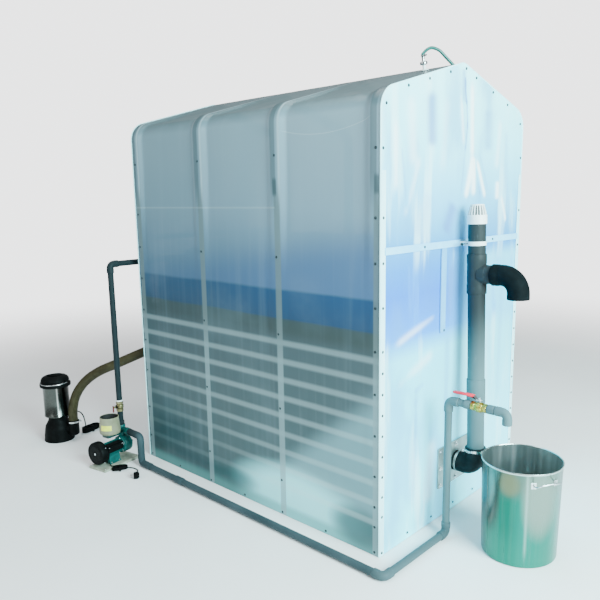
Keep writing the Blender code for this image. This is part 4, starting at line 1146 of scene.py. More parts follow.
def make_trim(looks):
    """Bars, strips, edge beads and the screws that hold the cover."""
    face = HALF_LENGTH + GAP
    strips = Shape()
    beads = Shape()
    for side, end in ((1, "front"), (-1, "rear")):
        bar = Shape()
        front = side * (face + BAR_DEPTH)
        x = sorted((side * face, front))
        bar.block((x[0], -0.575, BAR_Z - BAR_HALF), (x[1], 0.575, BAR_Z + BAR_HALF), looks["film_strip"],
                  bevel=0.0015)
        for y in (-0.297, 0.0, 0.301):
            bar.screw((front, y, BAR_Z), (side, 0, 0), looks["screw"])
        piece(f"{end}_bar_flat", bar, [f"{end}_bar"])
        x = sorted((side * (HALF_LENGTH + 0.0002), side * (HALF_LENGTH + 0.0022)))
        for hand in (-1, 1):
            y = sorted((hand * 0.5995, hand * 0.568))
            strips.block((x[0], y[0], 0.003), (x[1], y[1], CORNER_STRIP_TOP), looks["strip"], bevel=0.0006)
        line = [(side * (HALF_LENGTH - 0.002), y, z) for y, z in portal(0.0012, 0.004, 14)]
        beads.sweep(line, 0.003, looks["strip"], sides=10)
    strap = Shape()
    strap.block((face, -0.159, 0.9), (face + BAR_DEPTH, -0.117, BAR_Z - BAR_HALF - GAP),
                looks["film_strap"], bevel=0.0012)
    strap.screw((face + BAR_DEPTH, -0.129, 0.908), (1, 0, 0), looks["screw"])
    piece("front_strap_flat", strap, ["front_strap"])
    piece("corner_strips", strips)
    piece("edge_beads", beads)
    make_screws(looks)


SLAT_SCREWS = [0.181 + 0.0888 * k for k in range(9)]
MAIN_SCREWS = [1.069, 1.246, 1.423]


def make_screws(looks):
    """Screw heads along the ribs, the base and the edges of the end walls."""
    sides = Shape()
    near_rib = (0.017, 0.132, 0.222, 0.358, 0.535, 0.712, 0.89, 1.068, 1.245, 1.423, 1.687)
    mid_rib = (0.013, 0.177, 0.534, 0.889, 1.243, 1.688)
    rear_rib = (0.017, 0.132, 0.307, 0.531, 0.71, 0.886, 1.067, 1.244, 1.424, 1.695)
    places = [(x, z) for x, heights in zip(RIB_PLACES, (rear_rib, mid_rib, mid_rib, near_rib))
              for z in heights]
    places += [(x, 0.015) for x in (-0.55, 0.0, 0.55)]
    for hand in (-1, 1):
        for x, z in places:
            sides.screw((x, hand * (HALF_WIDTH - 0.0014), z), (0, hand, 0), looks["screw"])
    piece("side_screws", sides)
    ends = Shape()
    strip = [(0.584, z) for z in [0.018] + SLAT_SCREWS + MAIN_SCREWS]
    gable = [(0.584, 1.685), (0.565, 1.85), (0.42, 1.929), (0.27, 1.972), (0.11, 2.017)]
    single = [(0.02, 2.046)] + [(y, 0.03) for y in (-0.39, -0.196, 0.0, 0.19, 0.385)]
    for side in (1, -1):
        for proud, rows in ((0.0022, strip), (-0.0004, gable)):
            for hand in (-1, 1):
                for y, z in rows:
                    ends.screw((side * (HALF_LENGTH + proud), hand * y, z), (side, 0, 0), looks["screw"])
        for y, z in single:
            ends.screw((side * (HALF_LENGTH - 0.0004), y, z), (side, 0, 0), looks["screw"])
    piece("end_screws", ends)


def repaint_frame(looks):
    """Finish the steel frame's own CAD pieces."""
    for node in ("base_frame", "rib_rear", "rib_mid_rear", "rib_mid_front", "rib_front"):
        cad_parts[node].data.materials[0] = looks["zinc"]
    for node in ("slats_near", "slats_far"):
        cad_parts[node].data.materials[0] = looks["slat"]


# The standpipe

def clamp_band(shape, matrix, radius, looks, turn=0.0, width=0.011):
    """A worm-drive hose clamp round +Z, with its screw housing at an angle."""
    half = width / 2
    shape.lathe(((radius, -half), (radius + 0.0014, -half), (radius + 0.0014, half), (radius, half),
                 (radius, -half)), looks["steel"], matrix, 48)
    at = matrix @ spin(turn) @ shift((radius + 0.004, 0, 0))
    shape.block((-0.004, -0.011, -half), (0.0045, 0.011, half), looks["steel"], at, bevel=0.0015)
    shape.sweep([(0.0015, -0.02, 0), (0.0015, 0.014, 0)], 0.0036, looks["steel"], at, 12)
    shape.lathe(((0.0052, 0), (0.0052, 0.005), (0, 0.005)), looks["steel"],
                at @ facing((0.0015, -0.0255, 0), (0, 1, 0)), 6)


def make_standpipe(looks):
    """The leaning standpipe, piece by piece."""
    pipe = looks["pipe"]
    lower = Shape()
    r = STAND_RADIUS
    lower.turned(((r, STAND_FOOT), (r, 0.2448), (0.0412, 0.245), (0.0425, 0.248), (0.0425, 0.3585),
                  (0.0412, 0.362), (r, 0.3622), (r, TEE_LOW - GAP)), pipe, STAND, 64)
    piece("standpipe_lower_run", lower, ["standpipe_lower"])
    tee = Shape()
    t = TEE_RADIUS
    tee.turned(((t - 0.001, TEE_LOW), (t, TEE_LOW + 0.0015), (t, TEE_LOW + 0.04),
                (t - 0.0012, TEE_LOW + 0.042), (t - 0.0012, TEE_HIGH - 0.042), (t, TEE_HIGH - 0.04),
                (t, TEE_HIGH - 0.0015), (t - 0.001, TEE_HIGH)), pipe, STAND, 64)
    branch = STAND @ shift((0, 0, BRANCH_HEIGHT)) @ spin(pi / 2, "Y")
    tee.lathe(((0.0442, 0.02), (0.0442, 0.034), (0.0432, 0.052), (0.042, 0.053), (0.042, 0.0765),
               (0.041, BRANCH_REACH), (0, BRANCH_REACH)), pipe, branch, 64)
    piece("standpipe_tee_body", tee, ["standpipe_tee"])
    upper = Shape()
    upper.lathe(((0, TEE_HIGH + GAP), (r, TEE_HIGH + GAP), (r, CAP_LOW - GAP), (0, CAP_LOW - GAP)), pipe,
                STAND, 64)
    piece("standpipe_upper_run", upper, ["standpipe_upper"])
    make_vent_cap(looks)
    make_side_elbow(looks)
    make_foot_elbow(looks)
    make_pipe_strap(looks)


def make_vent_cap(looks):
    """The slotted white cap on the standpipe."""
    cap = Shape()
    low = CAP_LOW
    cap.turned(((0.0425, low), (0.0435, low + 0.001), (0.0435, low + 0.039), (0.0425, low + 0.04)),
               looks["white"], STAND, 64)
    # Painted shade: the cone inside the slots is near black.
    cap.lathe(((0.0345, low + 0.04), (0.025, CAP_TOP - 0.004)), looks["dark"], STAND, 48)
    cap.lathe(((0, CAP_TOP - 0.006), (0.0305, CAP_TOP - 0.006), (0.0312, CAP_TOP - 0.003),
               (0.0295, CAP_TOP - 0.0005), (0, CAP_TOP)), looks["white"], STAND, 48)
    outline = ((0.033, low + 0.039), (0.0405, low + 0.039), (0.0405, low + 0.046),
               (0.031, CAP_TOP - 0.004), (0.0235, CAP_TOP - 0.004))
    for turn in around(STAND, 18):
        cap.slab(outline, -0.0022, 0.0022, looks["white"], turn @ ON_EDGE, bevel=0.0005)
    piece("vent_cap_slotted", cap, ["vent_cap"])


def make_side_elbow(looks):
    """The black rubber elbow that hangs from the tee's branch, open below."""
    rubber = looks["elbow"]
    start = Vector((BRANCH_REACH + GAP, 0, BRANCH_HEIGHT))
    knee = Vector((ELBOW_REACH, 0, BRANCH_HEIGHT))
    mouth = knee - UP * ELBOW_DROP
    steps = 20
    path = [start] + [Vector((BRANCH_REACH + x, 0, BRANCH_HEIGHT)) for x in (0.003, 0.03, 0.033)]
    r = ELBOW_BEND
    path += [(x, 0, z) for x, z in arc((knee.x - r, knee.z - r), r, pi / 2, 0, steps)]
    path += [mouth + UP * 0.002, mouth]
    sizes = [0.045, 0.0478, 0.0478, 0.046] + [0.0463 + 0.0012 * i / steps for i in range(steps + 1)]
    sizes += [0.0478, 0.0468]
    elbow = Shape()
    elbow.sweep(path, sizes, rubber, STAND, 48, caps=False)
    elbow.lathe(((0.0468, 0), (0.0415, 0), (0.041, 0.004), (0.041, 0.026), (0, 0.026)), rubber,
                STAND @ shift(mouth), 48)
    elbow.lathe(((0.045, 0), (0.0405, 0)), rubber, STAND @ facing(start, (1, 0, 0)), 48)
    piece("side_elbow_rubber", elbow, ["side_elbow"])


def make_foot_elbow(looks):
    """The black rubber elbow between the end wall and the standpipe, with its steel clamps and plate."""
    lean = STAND.to_3x3() @ UP
    top = STAND.translation + lean * (STAND_FOOT - GAP)
    middle = OUTLET_Z
    bend = FOOT_BEND
    end_x = top.x - lean.x * (top.z - middle - bend)
    steps = 18
    path = [(PLATE_FACE + GAP, 0, middle), (PLATE_FACE + 0.004, 0, middle)]
    path += [(x, 0, z) for x, z in arc((end_x - bend, middle + bend), bend, -pi / 2, 0, steps)]
    path += [top - lean * 0.003, top]
    sizes = [0.0475, 0.0475] + [0.0488] * (steps + 1) + [0.048, 0.047]
    elbow = Shape()
    # The foot elbow's rubber is painted lighter than the side elbow's, as painted light.
    elbow.sweep(path, sizes, looks["foot_elbow"], sides=48)
    clamp_band(elbow, shift((0.878, 0, middle)) @ spin(pi / 2, "Y"), 0.0487, looks, radians(150))
    clamp_band(elbow, shift(top - UP * 0.01), 0.0486, looks, radians(-100))
    piece("foot_elbow_rubber", elbow, ["foot_elbow"])
    plate = Shape()
    outline = []
    for i, (y, z) in enumerate(((0.147, 0.342), (-0.147, 0.342), (-0.147, 0.158), (0.147, 0.158))):
        outline += arc((y, z), 0.008, pi / 2 * i, pi / 2 * (i + 1), 4)
    to_wall = Matrix(((0, 0, 1), (1, 0, 0), (0, 1, 0))).to_4x4()
    plate.slab(outline, HALF_LENGTH + GAP, PLATE_FACE, looks["plate"], to_wall, bevel=0.0008)
    for y, z in list(product((-0.138, 0.0, 0.138), (0.167, 0.333))) + [(-0.138, middle), (0.138, middle)]:
        plate.bolt((PLATE_FACE, y, z), (1, 0, 0), looks["steel"], 0.0075)
    piece("outlet_plate_bolted", plate, ["outlet_plate"])


def make_pipe_strap(looks):
    """The band that ties the standpipe to the front bar, with its screw tail."""
    middle = (BAR_Z - STAND_Z) / cos(LEAN)
    strap = Shape()
    low = middle - 0.009
    high = middle + 0.009
    strap.lathe(((STAND_RADIUS + 0.0003, low), (STAND_RADIUS + 0.0022, low), (STAND_RADIUS + 0.0025, middle),
                 (STAND_RADIUS + 0.0022, high), (STAND_RADIUS + 0.0003, high), (STAND_RADIUS + 0.0003, low)),
                looks["white"], STAND, 56)
    gap = STAND_X - (HALF_LENGTH + GAP + BAR_DEPTH) - high * tan(LEAN) - 0.0012
    strap.block((-gap, -0.012, low), (-STAND_RADIUS, -0.009, high), looks["white"], STAND, bevel=0.0005)
    strap.block((-gap, 0.009, low), (-STAND_RADIUS, 0.012, high), looks["white"], STAND, bevel=0.0005)
    at = STAND @ shift((0, 0, middle))
    strap.sweep([(-0.034, -0.026, 0), (-0.03, -0.082, 0.001)], 0.0028, looks["screw"], at, 10)
    strap.block((-0.042, -0.058, -0.005), (-0.026, -0.046, 0.006), looks["steel"], at, bevel=0.001)
    strap.bolt(at @ Vector((-0.03, -0.078, 0.001)), (0, -1, 0), looks["screw"], 0.005, 0.005)
    piece("pipe_strap_band", strap, ["pipe_strap"])


# The small slurry pipe and its valves

def pipe_run(shape, corners, look, r, socket):
    """Small pipe through its corners, with a socketed elbow at each inner one."""
    points = [Vector(p) for p in corners]
    full = r * socket
    lip = (r + full) / 2
    cut = [points[0]]
    for before, here, after in zip(points, points[1:], points[2:]):
        into = (here - before).normalized()
        out = (after - here).normalized()
        back = PIPE_BEND * tan(into.angle(out) / 2)
        reach = back + SOCKET_LENGTH
        axis = into.cross(out).normalized()
        start = here - into * back
        centre = start + (out - into * out.dot(into)).normalized() * PIPE_BEND
        path = [here - into * reach, here - into * (reach - 0.0015), here - into * (back + 0.004)]
        sizes = [lip, full, full]
        for i in range(13):
            turn = Matrix.Rotation(into.angle(out) * i / 12, 3, axis)
            path.append(centre + turn @ (start - centre))
            sizes.append(r + (full - r) * 0.77)
        path += [here + out * (back + 0.004), here + out * (reach - 0.0015), here + out * reach]
        sizes += [full, full, lip]
        shape.sweep(path, sizes, look, sides=36)
        cut += [here - into * (reach - 0.004), here + out * (reach - 0.004)]
    cut.append(points[-1])
    for a, b in zip(cut[::2], cut[1::2]):
        if (b - a).length > 0.001:
            shape.sweep([a, b], r, look, sides=36)


def make_small_pipes(looks):
    """The slurry line from the pump to the spout, and the line down from the rear wall."""
    pipe = looks["pipe"]
    floor_z = PIPE_RADIUS * SOCKET
    x = Vector((1, 0, 0))
    y = Vector((0, 1, 0))
    start = Vector((PUMP_OUTLET_X + GAP, FLOOR_PIPE_Y, PUMP_OUTLET_HEIGHT))
    high = Vector((DROP_X, FLOOR_PIPE_Y, PUMP_OUTLET_HEIGHT))
    drop = Vector((DROP_X, FLOOR_PIPE_Y, floor_z))
    corner = Vector((FLOOR_PIPE_X, FLOOR_PIPE_Y, floor_z))
    foot = Vector((FLOOR_PIPE_X, RISER_Y, floor_z))
    top = Vector((FLOOR_PIPE_X, RISER_Y, OUTLET_HEIGHT))
    valve = Vector((VALVE_START - GAP, RISER_Y, OUTLET_HEIGHT))
    beyond = Vector((VALVE_END + GAP, RISER_Y, OUTLET_HEIGHT))
    knee = Vector((SPOUT_X, RISER_Y, OUTLET_HEIGHT))
    mouth = Vector((SPOUT_X, RISER_Y, SPOUT_LOW))
    pump_top = Vector((PUMP.translation.x, PUMP.translation.y, REAR_VALVE_TOP + GAP))
    runs = {
        "pump_outlet_pipe": [start, high, drop, drop + x * SPLIT],
        "floor_pipe_side": [drop + x * (SPLIT + GAP), corner, corner + y * SPLIT],
        "floor_pipe_end": [corner + y * (SPLIT + GAP), foot, foot + UP * SPLIT],
        "riser_pipe": [foot + UP * (SPLIT + GAP), top, valve],
        "spout": [beyond, knee, mouth + UP * 0.002],
        "rear_pipe": [(-HALF_LENGTH - 0.0006, REAR_PIPE_ENTRY_Y, REAR_PIPE_HEIGHT),
                      (pump_top.x, REAR_PIPE_ENTRY_Y, REAR_PIPE_HEIGHT),
                      (pump_top.x, pump_top.y, REAR_PIPE_HEIGHT), pump_top]}
    shapes = {node: Shape() for node in runs}
    for node, corners in runs.items():
        size = OUTLET_PIPE_RADIUS if node == "pump_outlet_pipe" else PIPE_RADIUS
        pipe_run(shapes[node], corners, pipe, size, floor_z / size)
    adapter(shapes["riser_pipe"], valve, x, pipe)
    adapter(shapes["spout"], beyond, -x, pipe)
    coupling(shapes["floor_pipe_side"], drop + x * 0.36, x, pipe)
    shapes["spout"].lathe(((floor_z * 0.98, 0.01), (floor_z, 0.004), (floor_z * 0.97, 0), (0.0125, 0),
                           (0.012, 0.001), (0.012, 0.03), (0, 0.03)), pipe, shift(mouth), 36)
    shapes["rear_pipe"].lathe(((PIPE_RADIUS, 0.008), (0.0185, 0.0075), (0.0188, 0.0065), (0.0188, 0.001),
                               (0.0182, 0), (0, 0)), looks["white"], shift(pump_top), 36)
    for node, shape in shapes.items():
        piece(f"{node}_run", shape, [node])
    inlet = Shape()
    low = Vector((pump_top.x, pump_top.y, NECK_TOP + GAP))
    inlet.sweep([low, Vector((pump_top.x, pump_top.y, REAR_VALVE_LOW - GAP))], PIPE_RADIUS, pipe, sides=36)
    inlet.lathe(((0, 0), (0.0196, 0), (0.0205, 0.0015), (0.0205, 0.02), (0.0196, 0.022),
                 (PIPE_RADIUS, 0.0222)), pipe, shift(low), 36)
    piece("pump_inlet_run", inlet, ["pump_inlet_pipe"])


def adapter(shape, end, way, look):
    """The moulded end that screws into a valve."""
    matrix = facing(end, -way)
    r = PIPE_RADIUS
    shape.lathe(((0, 0), (r * 0.86, 0), (r * 0.86, 0.003), (r * 1.16, 0.004), (r * 1.2, 0.006),
                 (r * 1.2, 0.031), (r, 0.033)), look, matrix, 36)


def coupling(shape, middle, way, look):
    """A straight coupling on the small pipe."""
    matrix = facing(middle, way)
    r = PIPE_RADIUS
    shape.lathe(((r, -0.031), (r * 1.17, -0.03), (r * 1.2, -0.028), (r * 1.2, -0.002), (r * 1.15, -0.001),
                 (r * 1.15, 0.001), (r * 1.2, 0.002), (r * 1.2, 0.028), (r * 1.17, 0.03), (r, 0.031)), look,
                matrix, 36)


def valve_body(shape, matrix, length, looks):
    """A brass ball valve along +Z: two hexagon ends, their necks and the round body."""
    brass = looks["brass"]
    end = length * 0.25
    r = 0.0205
    for base, sign in ((0.0, 1), (length, -1)):
        shape.turned(((r * 0.92, base), (r, base + sign * 0.0012), (r, base + sign * (end - 0.0012)),
                      (r * 0.92, base + sign * end)), brass, matrix, 6)
    profile = [(0.015, end * 0.9)]
    for i in range(13):
        a = pi * i / 12
        z = length / 2 - (length / 2 - end * 1.05) * cos(a)
        profile.append((0.015 + 0.0068 * sin(a) ** 0.7, z))
    profile.append((0.015, length - end * 0.9))
    shape.lathe(profile, brass, matrix, 40)
    for z in (length * 0.43, length * 0.57):
        shape.lathe(((0.0205, z - 0.0015), (0.0224, z - 0.001), (0.0224, z + 0.001), (0.0205, z + 0.0015)),
                    brass, matrix, 40)


def make_front_valve(looks):
    """The valve over the bucket and its red lever."""
    length = VALVE_END - VALVE_START
    pivot = Vector(((VALVE_START + VALVE_END) / 2, RISER_Y, OUTLET_HEIGHT))
    body = Shape()
    inlet = shift((VALVE_START, RISER_Y, OUTLET_HEIGHT))
    valve_body(body, inlet @ spin(pi / 2, "Y"), length, looks)
    stem = shift(pivot)
    body.lathe(((0.01, 0.012), (0.01, 0.0205), (0.0085, 0.0215), (0, 0.0215)), looks["brass"], stem, 32)
    body.lathe(((0.007, 0.0215), (0.007, 0.0272), (0.0062, 0.0285), (0, 0.0287)), looks["bolt"], stem, 6)
    piece("front_valve_body", body, ["front_valve"])
    lever = Shape()
    low = OUTLET_HEIGHT + 0.029
    profile = ((0.01, low), (0.01, low + 0.0028), (-0.012, low + 0.0028), (-0.025, low + 0.0168),
               (-0.06, low + 0.0172), (-0.06, low + 0.0144), (-0.0235, low + 0.014), (-0.0118, low))
    at = shift((pivot.x, RISER_Y, 0))
    lever.slab(profile, -0.0085, 0.0085, looks["steel"], at @ ON_EDGE, bevel=0.0006)
    sleeve = [(-0.026, low + 0.0145), (-0.029, low + 0.0145), (-0.08, low + 0.0146), (-0.119, low + 0.0145),
              (-0.1245, low + 0.0144)]
    path = [Vector((pivot.x + x, RISER_Y, z)) for x, z in sleeve]
    flatten = shift((0, RISER_Y, 0)) @ Matrix.Diagonal((1, 2.0, 1, 1)) @ shift((0, -RISER_Y, 0))
    lever.sweep(path, [0.005, 0.0062, 0.0062, 0.0062, 0.0032], looks["red"], flatten, 24)
    lever.lathe(((0.0085, low + 0.0028), (0.0085, low + 0.0036), (0, low + 0.0036)), looks["bolt"], at, 28)
    lever.lathe(((0.0062, low + 0.0036), (0.0062, low + 0.0082), (0.0054, low + 0.009), (0, low + 0.009)),
                looks["steel"], at, 6)
    lever.lathe(((0.003, low + 0.009), (0.003, low + 0.0125), (0, low + 0.013)), looks["steel"], at, 16)
    piece("front_lever_red", lever, ["front_valve_lever"], body="front_lever")


def make_rear_valve(looks):
    """The valve over the pump and its small red lever."""
    x = PUMP.translation.x
    y = PUMP.translation.y
    middle = (REAR_VALVE_LOW + REAR_VALVE_TOP) / 2
    body = Shape()
    valve_body(body, shift((x, y, REAR_VALVE_LOW)), REAR_VALVE_TOP - REAR_VALVE_LOW, looks)
    stem = facing((x, y, middle), (0, -1, 0))
    reach = y - REAR_LEVER_Y - 0.0028
    body.lathe(((0.01, 0.012), (0.01, 0.026), (0.0088, 0.027), (0, 0.027)), looks["black"], stem, 32)
    body.lathe(((0.006, 0.027), (0.006, reach), (0, reach)), looks["brass"], stem, 20)
    piece("rear_valve_body", body, ["rear_valve"])
    lever = Shape()
    outline = ((-0.0058, 0.0095), (0.0058, 0.0095), (0.0058, -0.012), (0.005, -0.0295), (-0.005, -0.0295),
               (-0.0058, -0.012))
    at = shift((x, REAR_LEVER_Y, middle)) @ ON_EDGE
    lever.slab(outline, -0.0024, 0.0024, looks["red_dark"], at, bevel=0.0009)
    lever.lathe(((0.0046, 0.0024), (0.0046, 0.005), (0.0038, 0.0056), (0, 0.0056)), looks["steel"],
                facing((x, REAR_LEVER_Y, middle), (0, -1, 0)), 6)
    piece("rear_lever_red", lever, ["rear_valve_lever"], body="rear_lever")


# The pump

def make_pump(looks):
    """The pump on its board."""
    green = looks["green"]
    head = Shape()
    to_shaft = PUMP @ shift((SHAFT_X, 0, SHAFT_HEIGHT)) @ ON_EDGE
    head.lathe(((0, -0.035), (0.03, -0.035), (0.034, -0.031), (0.046, -0.028), (0.05, -0.024),
                (0.0505, 0.012), (0.047, 0.018), (0.0495, 0.021), (0.0495, 0.03), (0.047, 0.0345),
                (0, 0.0348)), green, to_shaft, 56)
    head.lathe(((0.008, -0.0352), (0.008, -0.036), (0, -0.0362)), looks["steel"], to_shaft, 20)
    for turn in around(to_shaft, 6, 0.3):
        for z, way in ((-0.0305, -1), (0.0335, 1)):
            head.bolt((0.041, 0, z), (0, 0, way), looks["steel"], 0.0036, 0.004, turn)
    head.lathe(((0.0235, 0.1), (0.0205, 0.142), (0.02, 0.16), (0.0215, 0.17), (0.0238, 0.176),
                (0.024, NECK_TOP - 0.002), (0.023, NECK_TOP), (0, NECK_TOP)), green, PUMP, 40)
    stub = facing((PUMP.translation.x, FLOOR_PIPE_Y, PUMP_OUTLET_HEIGHT), (1, 0, 0))
    end = PUMP_OUTLET_X - PUMP.translation.x
    head.lathe(((0.018, 0.01), (0.0175, end - 0.034), (0.0208, end - 0.028), (0.0209, end - 0.001),
                (0.02, end), (0, end)), green, stub, 36)
    arm = ((-0.022, POT_Y - 0.038), (0.026, POT_Y - 0.038), (0.033, POT_Y - 0.026), (0.033, -0.05),
           (0.018, -0.01), (-0.014, -0.01), (-0.029, -0.05), (-0.029, POT_Y - 0.026))
    head.slab(arm, 0.1585, 0.1795, looks["green_dark"], PUMP, bevel=0.004)
    piece("pump_head_casting", head, ["pump_head"])
    make_motor(looks, to_shaft)
    make_fan_cover(looks, to_shaft)
    board = Shape()
    board.block((-0.0415, -0.214, 0.0003), (0.0935, 0.048, 0.0138), looks["board"], PUMP, bevel=0.0015)
    for y, x in product((-0.2, 0.036), (-0.03, 0.082)):
        board.screw((x, y, 0.0136), UP, looks["steel"], 0.004, PUMP)
    piece("pump_board_wood", board, ["pump_board"])
    make_pot(looks)


def make_motor(looks, to_shaft):
    """The finned motor, its black end shield, its feet and its black terminal box."""
    green = looks["green"]
    black = looks["black"]
    motor = Shape()
    core = 0.0355
    motor.turned(((0.0395, 0.0353), (0.0405, 0.037), (0.0405, 0.046), (core, 0.048), (core, 0.146)), green,
                 to_shaft, 56)
    motor.turned(((0.04, 0.146), (0.0408, 0.148), (0.0408, 0.164), (0.0395, 0.165)), black, to_shaft, 56)
    for turn in around(to_shaft, 26):
        motor.block((core - 0.002, -0.0014, 0.047), (0.0404, 0.0014, 0.147), green, turn, bevel=0.0004)
    for side in (-1, 1):
        outline = ((side * 0.016, 0.0143), (side * 0.042, 0.0143), (side * 0.042, 0.019),
                   (side * 0.034, 0.0225), (side * 0.03, 0.062), (side * 0.014, 0.058))
        motor.slab(outline, 0.06, 0.138, green, PUMP @ shift((SHAFT_X, 0, 0)) @ ON_EDGE, bevel=0.0008)
        for y in (-0.072, -0.126):
            motor.bolt((SHAFT_X + side * 0.038, y, 0.0192), UP, looks["steel"], 0.0034, 0.004, PUMP)
    low = (SHAFT_X + 0.003, -0.1595, SHAFT_HEIGHT - 0.0075)
    high = (SHAFT_X + 0.0515, -0.0425, SHAFT_HEIGHT + 0.035)
    motor.block(low, high, black, PUMP, bevel=0.005)
    motor.block((low[0] + 0.003, low[1] + 0.003, high[2] - 0.004),
                (high[0] - 0.003, high[1] - 0.003, SHAFT_HEIGHT + 0.0378), black, PUMP, bevel=0.0015)
    for y in (low[1] + 0.012, high[1] - 0.012):
        motor.screw((high[0] - 0.0004, y, SHAFT_HEIGHT + 0.026), (1, 0, 0), looks["steel"], 0.0022, PUMP)
    piece("pump_motor_finned", motor, ["pump_motor"])


def make_fan_cover(looks, to_shaft):
    """The black fan cover with its ring of air slots, drawn as near black blocks in painted shade."""
    cover = Shape()
    near = 0.1653
    far = 0.2083
    cover.lathe(((0, near), (0.06, near), (0.0652, near + 0.002), (0.0655, far - 0.008),
                 (0.0625, far - 0.002), (0.056, far - 0.0008), (0.055, far - 0.002),
                 (0.05, far - 0.0022), (0.049, far - 0.0008), (0.014, far - 0.0004),
                 (0, far - 0.0002)), looks["black"], to_shaft, 64)
    # Painted shade: each air slot is a near black block on the cover.
    for radius in (0.022, 0.031, 0.04):
        for turn in around(to_shaft, round(radius * 620)):
            cover.block((radius - 0.003, -0.0009, far - 0.001), (radius + 0.003, 0.0009, far - 0.0001),
                        looks["dark"], turn)
    for turn in around(to_shaft, 4, 0.6):
        cover.screw((0.0653, 0, near + 0.01), (1, 0, 0), looks["steel"], 0.0026, turn)
    cover.lathe(((0.0062, far - 0.0006), (0.006, far + 0.0002), (0, far + 0.0003)), looks["steel"], to_shaft,
                24)
    piece("fan_cover_slotted", cover, ["fan_cover"])


def make_pot(looks):
    """The priming pot with its rolled rim, painted shade inside, and a plain label."""
    pot = Shape()
    at = PUMP @ shift((POT_X, POT_Y, 0))
    beige = looks["beige"]
    pot.lathe(((0, 0.1803), (0.05, 0.1803), (0.0545, 0.1815), (0.0582, 0.1865), (0.0592, 0.195),
               (0.059, 0.204), (0.0532, 0.27), (0.0538, 0.272), (0.0539, 0.277), (0.053, 0.2795),
               (0.0512, 0.2798), (0.05, 0.278)), beige, at, 64)
    # Painted shade: the inside of the pot is near black.
    pot.lathe(((0.05, 0.278), (0.0498, 0.268), (0.05, 0.194), (0.046, 0.1875), (0, 0.187)),
              looks["dark"], at, 64)
    middle = radians(-62)
    spread = radians(64)
    steps = 24
    label = [((r + 0.0004) * cos(middle - spread / 2 + spread * i / steps),
              (r + 0.0004) * sin(middle - spread / 2 + spread * i / steps), z)
             for r, z in ((0.0585, 0.21), (0.0558, 0.24)) for i in range(steps + 1)]
    pot.add(label, net(2, steps + 1), looks["label"], at)
    piece("priming_pot_rimmed", pot, ["priming_pot"])


# The disposer and its hose

def make_disposer(looks):
    """The food-waste disposer: waisted base with its outlet, polished body and black lid."""
    at = shift(DISPOSER)
    base = Shape()
    base.turned(((0.0905, 0), (0.0918, 0.003), (0.0905, 0.012), (0.0882, 0.018), (0.0872, 0.05),
                 (0.085, 0.066), (0.0835, 0.078), (0.079, 0.096), (0.07, 0.113), (0.0615, 0.127),
                 (0.0585, 0.138), (0.0578, 0.158), (0.056, 0.16)), looks["black"], at, 72)
    for turn in around(at, 10):
        base.block((0.082, -0.004, 0.018), (0.0892, 0.004, 0.048), looks["black"], turn, bevel=0.002)
    top = HOSE_FOOT.z
    foot = shift((HOSE_FOOT.x, HOSE_FOOT.y, 0))
    base.turned(((0.024, 0.04), (0.031, 0.046), (0.0325, 0.056), (0.0325, top - 0.02), (0.033, top - 0.018),
                 (0.033, top - 0.0015), (0.0322, top - 0.0003)), looks["black"], foot, 48)
    base.sweep([DISPOSER + UP * 0.076, Vector((HOSE_FOOT.x, HOSE_FOOT.y, 0.076))], 0.0295, looks["black"],
               sides=40)
    clamp = shift((HOSE_FOOT.x, HOSE_FOOT.y, top - 0.01))
    clamp_band(base, clamp, 0.0331, looks, radians(80), 0.009)
    piece("disposer_base_moulded", base, ["disposer_base"])
    body = Shape()
    body.turned(((0.076, 0.1603), (0.079, 0.163), (0.079, 0.17), (0.0775, 0.172), (0.0775, 0.345),
                 (0.079, 0.348), (0.079, 0.355)), looks["chrome"], at, 96)
    piece("disposer_body_polished", body, ["disposer_body"])
    make_disposer_lid(looks, at)
    make_waste_hose(looks)


def make_disposer_lid(looks, at):
    """The black lid: flanged ring with lugs, a bright wire bail and a dished cap with its grip."""
    lid = Shape()
    black = looks["black"]
    lid.lathe(((0, 0.3553), (0.0925, 0.3553), (0.093, 0.358), (0.093, 0.371), (0.0915, 0.374),
               (0.083, 0.376), (0.08, 0.38), (0.0795, 0.386), (0.0845, 0.389), (0.0857, 0.392),
               (0.0835, 0.399), (0.0775, 0.41), (0.066, 0.417), (0.05, 0.4205), (0.045, 0.4225),
               (0.044, 0.415), (0.03, 0.412), (0, 0.411)), black, at, 72)
    for turn in around(at, 4, radians(25)):
        lid.block((0.07, -0.018, 0.388), (0.0915, 0.018, 0.401), black, turn, bevel=0.004)
        lid.block((0.078, -0.01, 0.372), (0.09, 0.01, 0.39), black, turn, bevel=0.003)
    lid.block((-0.052, -0.01, 0.409), (0.052, 0.01, 0.4225), black, at @ spin(radians(40)), bevel=0.004)
    start = radians(-150)
    bail = [(0.0885 * cos(start + radians(8) * i), 0.0885 * sin(start + radians(8) * i),
             0.3815 - 0.006 * sin(pi * i / 22)) for i in range(23)]
    lid.sweep(bail, 0.0028, looks["steel"], at, 10)
    piece("disposer_lid_moulded", lid, ["disposer_lid"])


def make_waste_hose(looks):
    """The brown hose from the rear wall to the disposer."""
    route = [(-HALF_LENGTH - 0.0006, -0.42, 0.652), (-0.868, -0.42, 0.652), (-0.905, -0.437, 0.636),
             (-0.993, -0.51, 0.594), (-1.153, -0.611, 0.512), (-1.247, -0.67, 0.464),
             (-1.32, -0.715, 0.409), (-1.37, -0.747, 0.348), (-1.404, -0.768, 0.281),
             (-1.42, -0.779, 0.21), (HOSE_FOOT.x, HOSE_FOOT.y, 0.165), tuple(HOSE_FOOT)]
    path = square_path(route, 0.0032)
    sizes = [HOSE_RADIUS * (0.985 + 0.015 * cos(2 * pi * i / 3)) for i in range(len(path))]
    hose = Shape()
    hose.sweep(path, sizes, looks["hose"], sides=28)
    piece("waste_hose_spiral", hose, ["waste_hose"], sharp=80)


# The gas outlet and the bucket

